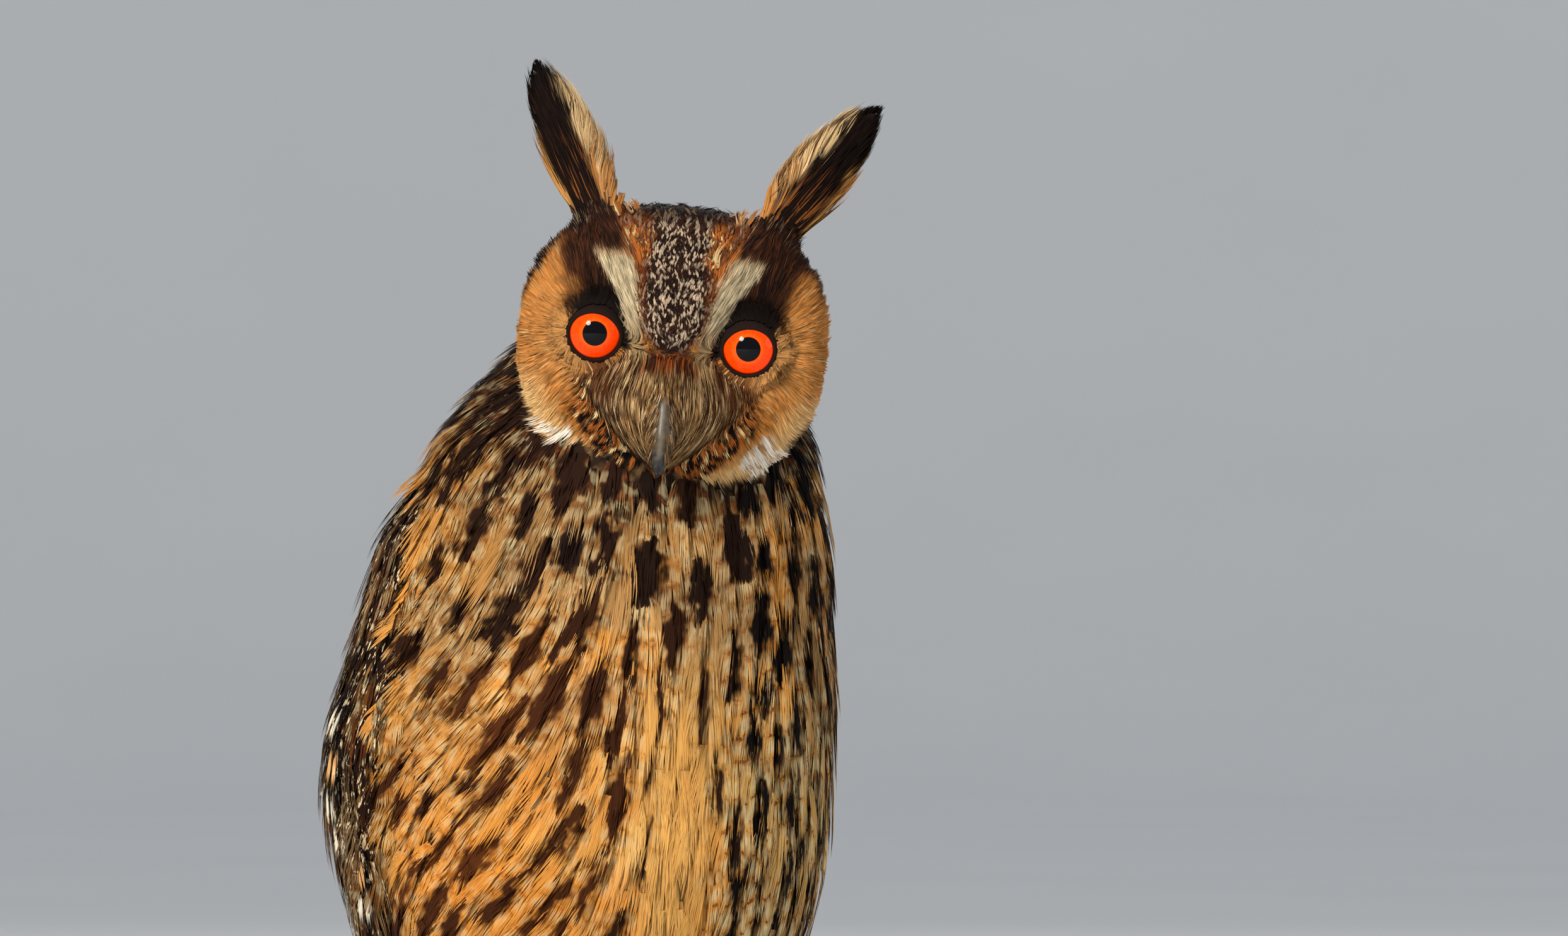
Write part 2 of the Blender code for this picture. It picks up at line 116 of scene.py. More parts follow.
# The face
DISC = rgb(0.75, 0.52, 0.28)
DISC_PALE = rgb(0.74, 0.62, 0.44)
DISC_STRAND = rgb(0.45, 0.27, 0.12)
WEDGE_BROWN = rgb(0.35, 0.21, 0.12)
BRISTLE = rgb(0.66, 0.51, 0.33)
BRISTLE_PALE = rgb(0.84, 0.74, 0.58)
BRISTLE_SIDE = rgb(0.24, 0.13, 0.07)
BRISTLE_UNDER_BROW = rgb(0.72, 0.60, 0.44)
AMBER = rgb(0.50, 0.27, 0.10)
NOSE = rgb(0.46, 0.22, 0.07)
CHEEK = rgb(0.34, 0.20, 0.11)
CHEEK_PALE = rgb(0.78, 0.66, 0.48)
BEARD = rgb(0.60, 0.36, 0.16)
SPECKLE_EDGE = rgb(0.46, 0.25, 0.10)
SPECKLE = rgb(0.74, 0.66, 0.57)
BROW = rgb(0.76, 0.70, 0.58)
BROW_FOOT = rgb(0.60, 0.49, 0.33)
EMBER = rgb(0.66, 0.40, 0.19)
NAPE_FLECK = rgb(0.70, 0.60, 0.48)

# The ear tufts
EAR_FLECK = rgb(0.46, 0.28, 0.13)
EAR_OUTER = rgb(0.70, 0.52, 0.30)
EAR_INNER_FOOT = rgb(0.64, 0.45, 0.25)
EAR_INNER_TOP = rgb(0.72, 0.62, 0.47)
DOWN_TAN = rgb(0.62, 0.40, 0.20)
DOWN_PALE = rgb(0.82, 0.74, 0.60)


def step(x, low, high):
    """A smooth step from 0 at low to 1 at high."""
    t = np.clip((x - low) / (high - low), 0, 1)
    return t * t * (3 - 2 * t)


def mix(a, b, share):
    share = np.asarray(share, float)[..., None]
    return np.asarray(a) * (1 - share) + np.asarray(b) * share


def layered(colour, *layers):
    """A colour with others laid over it in turn, each with its share."""
    for over, share in layers:
        colour = mix(colour, over, share)
    return colour


def vectors(x, y, z):
    return np.stack(np.broadcast_arrays(x, y, z), -1).astype(float, copy=False)


def unit(rows):
    return rows / np.maximum(np.linalg.norm(rows, axis=-1, keepdims=True), 1e-12)


LATTICE = np.random.default_rng(11).random((32, 32, 32))


def noise(points, size, offset=0.0):
    """Smooth value noise from 0 to 1 at points, with lumps of about the given size."""
    p = np.asarray(points, float) / size + offset
    low = np.floor(p).astype(int)
    f = p - low
    f = f * f * (3 - 2 * f)
    total = 0
    for corner in np.ndindex(2, 2, 2):
        cell = (low + corner) % 32
        weight = np.where(corner, f, 1 - f).prod(-1)
        total = total + LATTICE[cell[..., 0], cell[..., 1], cell[..., 2]] * weight
    return total


def to_head(points):
    """World points in the head's frame, in millimetres."""
    return (points - HEAD_ORIGIN) @ HEAD_TURN / MM


def from_head(points):
    return np.asarray(points, float) * MM @ HEAD_TURN.T + HEAD_ORIGIN


def on_head(points):
    """The three coordinates of world points in the head's frame."""
    return np.moveaxis(to_head(points), -1, 0)


def height_of(points):
    return (points[..., 2] - PERCH_TOP) / MM


def body_place(points):
    """The turn round the body in degrees, 0 in front and positive to the owl's left, and the height."""
    x = points[..., 0] / MM
    y = points[..., 1] / MM - 12
    return np.degrees(np.arctan2(x, -y)), height_of(points)


# Node materials


class Socket:
    """A node's output, which takes part in sums as a number does."""

    def __init__(self, graph, output):
        self.graph = graph
        self.output = output

    def maths(self, operation, *others):
        return self.graph.add("Math", dict(enumerate((self, *others))), operation=operation)

    def __add__(self, other):
        return self.maths("ADD", other)

    def __sub__(self, other):
        return self.maths("SUBTRACT", other)

    def __rsub__(self, other):
        return self.graph.add("Math", {0: other, 1: self}, operation="SUBTRACT")

    def __mul__(self, other):
        return self.maths("MULTIPLY", other)

    def __truediv__(self, other):
        return self.maths("DIVIDE", other)

    def __abs__(self):
        return self.maths("ABSOLUTE")

    def step(self, low, high):
        """A smooth step from 0 at low to 1 at high."""
        links = {"Value": self, "From Min": low, "From Max": high}
        return self.graph.add("MapRange", links, interpolation_type="SMOOTHSTEP")

    def ranged(self, low, high, to_low, to_high):
        links = {"From Min": low, "From Max": high, "To Min": to_low, "To Max": to_high}
        return self.graph.add("MapRange", {"Value": self, **links})

    def parts(self):
        """The three parts of a vector."""
        split = self.graph.add("SeparateXYZ", {0: self}).output.node
        return [Socket(self.graph, output) for output in split.outputs]


class Graph:
    """A material and the nodes that feed its shader."""

    def __init__(self, name, roughness, specular):
        self.material = bpy.data.materials.new(name)
        self.material.use_nodes = True
        self.tree = self.material.node_tree
        self.shader = self.tree.nodes["Principled BSDF"]
        self.fill(self.shader, {"Roughness": roughness, "Specular IOR Level": specular})

    def fill(self, node, inputs):
        """Fills inputs, by name or number, with numbers, colours or other nodes' outputs."""
        for key, value in inputs.items():
            if isinstance(value, Socket):
                self.tree.links.new(value.output, node.inputs[key])
            elif isinstance(value, np.ndarray):
                node.inputs[key].default_value = (*value, 1)
            else:
                node.inputs[key].default_value = value

    def add(self, kind, inputs, output=0, **settings):
        """Adds a node, sets its properties, fills its inputs and gives one of its outputs."""
        node = self.tree.nodes.new("ShaderNode" + kind)
        for key, value in settings.items():
            setattr(node, key, value)
        self.fill(node, inputs)
        return Socket(self, node.outputs[output])

    def attribute(self, name, output):
        return self.add("Attribute", {}, output, attribute_name=name)

    def place(self, stretch=None):
        """The place on the piece, or that place with each axis multiplied by a number."""
        place = self.add("TexCoord", {}, "Object")
        return place if stretch is None else self.add("Mapping", {"Vector": place, "Scale": stretch})

    def join(self, x, y, z=0.0):
        return self.add("CombineXYZ", {0: x, 1: y, 2: z})

    def noise(self, place, scale=1.0, detail=3.0, roughness=0.55):
        links = {"Vector": place, "Scale": scale, "Detail": detail, "Roughness": roughness}
        return self.add("TexNoise", links)

    def mix(self, a, b, share, blend="MIX"):
        return self.add("Mix", {0: share, 6: a, 7: b}, 2, data_type="RGBA", blend_type=blend)

    def layered(self, colour, *layers):
        """A colour with others laid over it in turn, each with its share."""
        for over, share in layers:
            colour = self.mix(colour, over, share)
        return colour

    def bump(self, height, strength, distance):
        links = {"Height": height, "Strength": strength, "Distance": distance * MM}
        self.fill(self.shader, {"Normal": self.add("Bump", links)})

    def painted(self, colour):
        """Gives the shader its colour. The graph's material is then done."""
        self.fill(self.shader, {"Base Color": colour})
        return self.material

    def deepened(self, colour, shade):
        """A shaded colour with deeper darks, which the soft light would wash out."""
        shaded = self.mix(colour, self.join(shade, shade, shade), 1.0, "MULTIPLY")
        deep = self.add("Gamma", {"Color": shaded, "Gamma": 1.15})
        return self.mix(deep, np.full(3, 1.07), 1.0, "MULTIPLY")


def feather_material(name, flecks=0.0):
    """Feathers: a ground colour, soft dark streaks with pale ovals and thin lines beside them, and barbs.

    The attribute mark holds a place in millimetres, across and along, seen from the middle of its
    streak, and a number that is also how warm the streak is. The attribute streak holds the
    streak's half width and half length in millimetres and the strength of the ovals. flecks is the
    strength of small pale flecks all over.
    """
    graph = Graph(name, 0.8, 0.08)
    across, along, seed = graph.attribute("mark", "Vector").parts()
    half_width, half_length, ovals = graph.attribute("streak", "Vector").parts()

    def lumps(x_scale, y_scale, seed_scale, detail=2.0):
        place = graph.join(across * x_scale, along * y_scale, seed * seed_scale)
        return graph.noise(place, 1.0, detail) - 0.5

    # A streak with pointed ends and soft, torn edges
    wobble = lumps(0.22, 0.13, 57.0)
    barbs = lumps(2.4, 0.10, 13.0)
    reach = along / half_length + (wobble * 1.3 + barbs * 0.6)
    width = half_width * (1.0 - reach * reach).maths("MAXIMUM", 0.0).maths("SQRT")
    distance = abs(across + wobble * (half_width + 0.5) * 3.4)
    beyond = distance - width + barbs * 1.9
    soft = half_width * 0.24 + 0.2
    there = half_width.step(0.1, 0.5) * width.step(0.0, 0.5)
    dark = beyond.step(soft, soft * -1.0) * there
    halo = beyond.step(soft * 4.0, 0.0) * there * 0.45

    # Pale ovals and thin cross lines beside it
    oval_period = 6.2
    turned = along * (2 * math.pi / oval_period) + distance * -0.5
    wave = (turned + wobble * 5.0 + seed * 40.0).maths("SINE")
    beside = beyond.step(0.1, 0.9) * beyond.step(4.6, 2.0)
    broken = lumps(0.7, 0.7, 31.0).step(-0.08, 0.06)
    line = wave.step(-0.68, -0.93) * broken * (ovals * beside)
    oval = wave.step(-0.75, 0.7) * (ovals * 0.7) * beside

    colour = graph.attribute("ground", "Color")
    if flecks:
        colour = graph.mix(colour, FLECK, lumps(0.85, 0.28, 77.0, 3.0).step(0.09, 0.14) * flecks)
    streak = graph.mix(BLACKISH, WARM_BROWN, seed)
    colour = graph.layered(colour, (OVAL, oval), (THIN_LINE, line), (WARM_BROWN * 1.1, halo), (streak, dark))
    shade = lumps(2.6, 0.12, 91.0).ranged(-0.2, 0.2, 0.94, 1.05)
    return graph.painted(graph.deepened(colour, shade))


def flight_material():
    """Long feathers: bars across, fine flecks and a thin dark shaft.

    The attribute streak holds the bars' period in millimetres, their strength and the flecks'.
    """
    graph = Graph("flight_feathers", 0.65, 0.15)
    across, from_tip, seed = graph.attribute("mark", "Vector").parts()
    period, strength, flecks = graph.attribute("streak", "Vector").parts()

    wobble = graph.noise(graph.join(across * 0.25, from_tip * 0.25, seed * 40.0), 1.0, 2.0)
    phase = (from_tip + wobble * 5.0) / period
    bar = (phase * (2 * math.pi)).maths("SINE").step(0.05, 0.5) * strength
    fine = graph.noise(graph.join(across * 0.9, from_tip * 1.5, seed * 40.0))
    colour = graph.layered(
        graph.attribute("ground", "Color"), (DARK, fine.step(0.5, 0.62) * flecks), (DARK * 0.8, bar),
        (DARK * 1.6, abs(across).step(0.55, 0.3)),
    )
    barb = graph.noise(graph.join(across * 0.12, (from_tip + abs(across)) * 3.5), 1.0, 2.0)
    return graph.painted(graph.deepened(colour, barb.ranged(0.3, 0.7, 0.8, 1.15)))


def skin_material():
    graph = Graph("skin", 0.85, 0.1)
    fleck = graph.noise(graph.place(), 900.0)
    graph.bump(fleck, 0.4, 0.4)
    return graph.painted(graph.mix(graph.attribute("ground", "Color"), DARK, fleck * 0.45))


def eye_material():
    """A black pupil and an orange-red iris that glow faintly, a painted glow. The attribute mark holds the
    distance to the eye's axis.
    """
    graph = Graph("eye", 0.03, 0.13)
    reach, turn, _ = graph.attribute("mark", "Vector").parts()
    rays = graph.noise(graph.join(turn * 9.0, reach * 0.35))
    black = np.array([0.002, 0.002, 0.003])
    rim = np.array([0.01, 0.008, 0.007])
    iris = graph.layered(
        rgb(1.0, 0.32, 0.03), (rgb(1.0, 0.25, 0.01), reach.step(PUPIL_RADIUS, PUPIL_RADIUS + 1.3)),
        (rgb(0.86, 0.13, 0.01), rays.step(0.45, 0.7) * 0.35),
        (rgb(0.30, 0.05, 0.01), reach.step(IRIS_RADIUS - 0.7, IRIS_RADIUS - 0.1)),
    )
    colour = graph.layered(
        black, (iris, reach.step(PUPIL_RADIUS - 0.1, PUPIL_RADIUS + 0.12)),
        (rim, reach.step(IRIS_RADIUS, IRIS_RADIUS + 0.3)),
    )
    # The eye glows faintly with its own colours: a painted glow, since the eye is no lamp
    graph.fill(graph.shader, {"Emission Color": colour, "Emission Strength": 0.12})
    return graph.painted(colour)


def horn_material(name, base=None):
    """Satin horn of one colour, or of the colours that the attribute ground holds."""
    graph = Graph(name, 0.38, 0.28)
    grain = graph.noise(graph.place(), 700.0, 4.0)
    graph.bump(grain, 0.15, 0.2)
    base = graph.attribute("ground", "Color") if base is None else base
    return graph.painted(graph.mix(base, rgb(0.50, 0.47, 0.44), grain.step(0.40, 0.75) * 0.22))


def bark_material():
    """Ridged bark with moss and lichen, and rings on the branch's cut ends."""
    graph = Graph("bark", 0.85, 0.2)
    place = graph.place()
    ridges = graph.noise(graph.place((0.35, 1.0, 1.0)), 420.0, 6.0, 0.65)
    bark = graph.mix(rgb(0.24, 0.19, 0.14), rgb(0.42, 0.36, 0.28), ridges.step(0.30, 0.72))
    x, y, z = place.parts()
    up = z - PERCH_AXIS
    distance = (y * y + up * up).maths("SQRT")
    rings = (distance * 3600.0 + ridges * 2.5).maths("SINE")
    wood = graph.mix(rgb(0.76, 0.62, 0.43), rgb(0.60, 0.45, 0.28), rings.step(-0.2, 0.9))
    cut = abs(x).step(0.0922, 0.0926) * distance.step(0.0160, 0.0152)
    graph.bump(ridges, 0.8, 1.2)
    return graph.painted(graph.layered(
        bark, (rgb(0.36, 0.36, 0.20), graph.noise(place, 60.0, 4.0).step(0.48, 0.7) * 0.4),
        (rgb(0.72, 0.60, 0.16), graph.noise(place, 95.0, 5.0, 0.7).step(0.66, 0.72)), (wood, cut),
    ))


def stand_material():
    graph = Graph("stand", 0.32, 0.5)
    grain = graph.noise(graph.place((0.12, 1.0, 1.0)), 260.0, 5.0, 0.6)
    rough = grain.ranged(0.0, 1.0, 0.26, 0.42)
    graph.fill(graph.shader, {"Roughness": rough, "Coat Weight": 0.25, "Coat Roughness": 0.15})
    return graph.painted(graph.mix(rgb(0.16, 0.095, 0.055), rgb(0.33, 0.20, 0.11), grain.step(0.35, 0.68)))


def steel_material():
    graph = Graph("steel", 0.3, 0.5)
    brush = graph.noise(graph.place((0.05, 0.05, 1.0)), 2600.0)
    graph.fill(graph.shader, {"Roughness": brush.ranged(0.0, 1.0, 0.24, 0.40), "Metallic": 1.0})
    return graph.painted(graph.mix(rgb(0.62, 0.62, 0.63), rgb(0.74, 0.74, 0.75), brush))


def floor_material():
    graph = Graph("floor", 0.9, 0.1)
    lumps = graph.noise(graph.place(), 3.0)
    tint = graph.mix(np.array([0.66, 0.67, 0.68]), np.array([0.70, 0.71, 0.72]), lumps)
    graph.fill(graph.shader, {"Emission Color": tint, "Emission Strength": 0.12})
    return graph.painted(tint)


# Meshes from arrays


def mesh_object(name, points, triangles, material, attributes=None, uv=None, normals=None):
    """A smooth-shaded mesh of triangles with point attributes and, where given, its OFBake map."""
    mesh = bpy.data.meshes.new(name)
    mesh.vertices.add(len(points))
    mesh.vertices.foreach_set("co", np.ascontiguousarray(points, np.float32).ravel())
    mesh.loops.add(len(triangles) * 3)
    mesh.loops.foreach_set("vertex_index", np.ascontiguousarray(triangles, np.int32).ravel())
    mesh.polygons.add(len(triangles))
    mesh.polygons.foreach_set("loop_start", np.arange(len(triangles), dtype=np.int32) * 3)
    mesh.polygons.foreach_set("use_smooth", np.ones(len(triangles), bool))
    for key, values in (attributes or {}).items():
        if key == "ground":
            values = np.c_[np.clip(values, 0, 1), np.ones(len(values))]
            layer = mesh.attributes.new(key, "FLOAT_COLOR", "POINT")
            layer.data.foreach_set("color", values.astype(np.float32).ravel())
        else:
            layer = mesh.attributes.new(key, "FLOAT_VECTOR", "POINT")
            layer.data.foreach_set("vector", values.astype(np.float32).ravel())
    if uv is not None:
        layer = mesh.uv_layers.new(name="OFBake")
        layer.data.foreach_set("uv", uv[triangles.ravel()].astype(np.float32).ravel())
    mesh.update(calc_edges=True)
    if normals is not None:
        mesh.normals_split_custom_set_from_vertices(normals.astype(np.float32))
    mesh.materials.append(material)
    return placed(name, mesh)


def placed(name, data):
    made = bpy.data.objects.new(name, data)
    bpy.context.scene.collection.objects.link(made)
    return made


def finished(obj, slot, *nodes):
    """Puts a piece on the model's one body and hides the nodes it stands for. slot is not used."""
    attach(obj, "root")
    if nodes:
        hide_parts(*nodes)


def grid_faces(rows, columns, closed=True):
    """Triangles between rows of points, where closed joins each row round into a ring."""
    row, column = np.meshgrid(np.arange(rows - 1), np.arange(columns - (0 if closed else 1)), indexing="ij")
    a = (row * columns + column).ravel()
    b = (row * columns + (column + 1) % columns).ravel()
    return np.vstack([np.stack([a, b, b + columns], 1), np.stack([a, b + columns, a + columns], 1)])


def ring(around):
    """Angles all the way round in even steps."""
    return 2 * math.pi * np.arange(around) / around


def welded(node, inflate=0.0):
    """A CAD node's mesh as a bmesh with its points joined, moved out along its normals."""
    bm = bmesh.new()
    bm.from_mesh(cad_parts[node].data)
    bmesh.ops.remove_doubles(bm, verts=bm.verts, dist=1e-6)
    bm.normal_update()
    for v, n in [(v, v.normal.copy()) for v in bm.verts]:
        v.co += n * inflate
    return bm


def as_mesh(bm, name):
    mesh = bpy.data.meshes.new(name)
    bm.to_mesh(mesh)
    bm.free()
    return mesh


def read_rows(items, key, count, kind=np.float32):
    """Numbers of a mesh's items, in rows of three."""
    values = np.empty(count * 3, kind)
    items.foreach_get(key, values)
    return values.reshape(-1, 3)


def remeshed(bm, voxel, rounds):
    """Points, normals and triangles of a bmesh after a voxel remesh and some smoothing."""
    obj = placed("rough", as_mesh(bm, "rough"))
    change = obj.modifiers.new("voxels", "REMESH")
    change.mode = "VOXEL"
    change.voxel_size = voxel
    smooth = obj.modifiers.new("smooth", "SMOOTH")
    smooth.factor = 0.5
    smooth.iterations = rounds
    obj.modifiers.new("triangles", "TRIANGULATE")
    graph = bpy.context.evaluated_depsgraph_get()
    made = bpy.data.meshes.new_from_object(obj.evaluated_get(graph))
    points = read_rows(made.vertices, "co", len(made.vertices)).astype(float)
    normals = read_rows(made.vertices, "normal", len(made.vertices)).astype(float)
    triangles = read_rows(made.loops, "vertex_index", len(made.polygons), np.int32)
    bpy.data.objects.remove(obj)
    return points, normals, triangles


def tree_of(node):
    bm = welded(node)
    tree = BVHTree.FromBMesh(bm)
    bm.free()
    return tree


class Skin:
    """The one skin under the whole coat: points, normals, triangles and which part each point is."""

    def __init__(self):
        joined = bmesh.new()
        for node in UNDER_COAT:
            joined.from_mesh(as_mesh(welded(node, 0.4 * MM), "part"))
        self.points, self.normals, self.triangles = remeshed(joined, SKIN_VOXEL, 5)
        trees = [tree_of(node) for node in UNDER_COAT]
        near = np.array([[t.find_nearest(Vector(p))[3] for t in trees] for p in self.points])
        self.part = near.argmin(1)
        self.points = self.points - self.normals * (self.depths() * MM)[:, None]
        self.tree = BVHTree.FromPolygons([Vector(p) for p in self.points], self.triangles.tolist())
        a, b, c = self.corners(self.triangles)
        self.areas = 0.5 * np.linalg.norm(np.cross(b - a, c - a), axis=1)

    def corners(self, triangles):
        return (self.points[triangles[:, k]] for k in range(3))

    def depths(self):
        """How far each point lies under the feather tips in mm, smoothed between the parts."""
        depth = np.array([COAT_DEPTH[node] for node in UNDER_COAT])[self.part]
        crown = (self.part == UNDER_COAT.index("head")) * step(on_head(self.points)[2], 20, 27)
        depth = depth + 1.6 * crown
        edges = np.vstack([self.triangles[:, pair] for pair in ([0, 1], [1, 2], [2, 0])])
        counts = np.bincount(edges.ravel(), minlength=len(self.points))
        for _ in range(6):
            total = sum(np.bincount(edges[:, k], depth[edges[:, 1 - k]], len(self.points)) for k in (0, 1))
            depth = total / counts
        return depth

    def nearest(self, points):
        """The closest points on the skin with their normals."""
        found = [self.tree.find_nearest(Vector(p)) for p in points]
        places = np.array([f[0] for f in found])
        return places, self.normal_at(places, np.array([f[2] for f in found]))

    def normal_at(self, places, triangle):
        corners = self.points[self.triangles[triangle]]
        weight = 1 / (np.linalg.norm(corners - places[:, None], axis=2) + 1e-5)
        return unit((self.normals[self.triangles[triangle]] * weight[..., None]).sum(1))

    def scatter(self, parts, spacing, keep, seed, stretch=1.0):
        """Evenly spread roots on some parts of the skin, with their normals.

        spacing is in millimetres, a number or a function of the points. keep says which points are
        wanted. stretch below 1 spreads the roots further apart up and down than across.
        """
        rng = np.random.default_rng(seed)
        gap_of = spacing if callable(spacing) else lambda p: np.full(len(p), float(spacing))
        wanted = np.isin(self.part, [UNDER_COAT.index(p) for p in parts])
        usable = np.flatnonzero(wanted[self.triangles].all(1))
        usable = usable[keep(self.points[self.triangles[usable]].mean(1))]
        middles = self.points[self.triangles[usable]].mean(1)
        tries = 3.0
        rate = self.areas[usable] / (gap_of(middles) * MM) ** 2 * tries * stretch
        count = int(rate.sum())
        chosen = usable[np.searchsorted(np.cumsum(rate), rng.random(count) * rate.sum())]
        u, v = rng.random((2, count))
        over = u + v > 1
        u[over], v[over] = 1 - u[over], 1 - v[over]
        a, b, c = self.corners(self.triangles[chosen])
        points = a + (b - a) * u[:, None] + (c - a) * v[:, None]
        inside = keep(points)
        points, chosen = points[inside], chosen[inside]
        kept = spread(points * np.array([1, 1, stretch]), gap_of(points) * MM)
        return points[kept], self.normal_at(points[kept], chosen[kept])


def spread(points, gaps):
    """Indices of points kept so that none is nearer than its gap to one kept before it."""
    cells = np.floor(points / float(gaps.max())).astype(int).tolist()
    around = list(np.ndindex(3, 3, 3))
    grid = {}
    kept = []
    for n, ((x, y, z), here, limit) in enumerate(zip(cells, points.tolist(), (gaps**2).tolist())):
        px, py, pz = here
        near = [q for i, j, k in around for q in grid.get((x + i - 1, y + j - 1, z + k - 1), ())]
        if all((px - qx) ** 2 + (py - qy) ** 2 + (pz - qz) ** 2 >= limit for qx, qy, qz in near):
            grid.setdefault((x, y, z), []).append(here)
            kept.append(n)
    return np.array(kept, int)


def tangent(direction, normals):
    return unit(direction - normals * (direction * normals).sum(-1, keepdims=True))


def on_path(path, share):
    """Places on each path at shares of its length, and the way ahead. share is (paths, ribbons, rows)."""
    steps = path.shape[1] - 1
    x = np.clip(share, 0, 1.25) * steps
    i = np.minimum(np.floor(x).astype(int), steps - 1)
    n = np.arange(len(path))[:, None, None]
    ahead = path[n, i + 1] - path[n, i]
    return path[n, i] + ahead * (x - i)[..., None], unit(ahead)


def path_length(path):
    return np.linalg.norm(np.diff(path, axis=-2), axis=-1).sum(-1) / MM


class Marks:
    """Dark streaks laid on the skin, which every feather over them takes up.

    shapes gives the half width and half length in mm, the ovals' strength and the warmth of each.
    """

    def __init__(self, where, flow, shapes):
        self.places, self.normals = where
        self.ahead = tangent(flow(self.places), self.normals)
        self.side = unit(np.cross(self.ahead, self.normals))
        self.shapes = shapes

    def seen_from(self, points):
        """The streak that is nearest to each point, counted in the streak's own size."""
        sizes = (self.shapes[:, 0] + 1.5, self.shapes[:, 1], 9.0)
        best = np.zeros(len(points), int)
        for start in range(0, len(points), 20_000):
            part = slice(start, start + 20_000)
            total = 0
            for axis, size in zip((self.side, self.ahead, self.normals), sizes):
                offset = points[part] @ axis.T - (self.places * axis).sum(1)
                total = total + (offset / MM / size) ** 2
            best[part] = total.argmin(1)
        return best

    def local(self, points, nearest):
        """Across and along in mm from the given streak's middle. points is (n, rows, 3)."""
        offset = (points - self.places[nearest][:, None]) / MM
        return [(offset * axis[nearest][:, None]).sum(-1) for axis in (self.side, self.ahead)]


def doubled(rows):
    """Values for both edges of a ribbon, from one for each row and one for its pointed tip."""
    return np.concatenate([np.repeat(rows[:, :, :-1], 2, axis=2), rows[:, :, -1:]], 2)


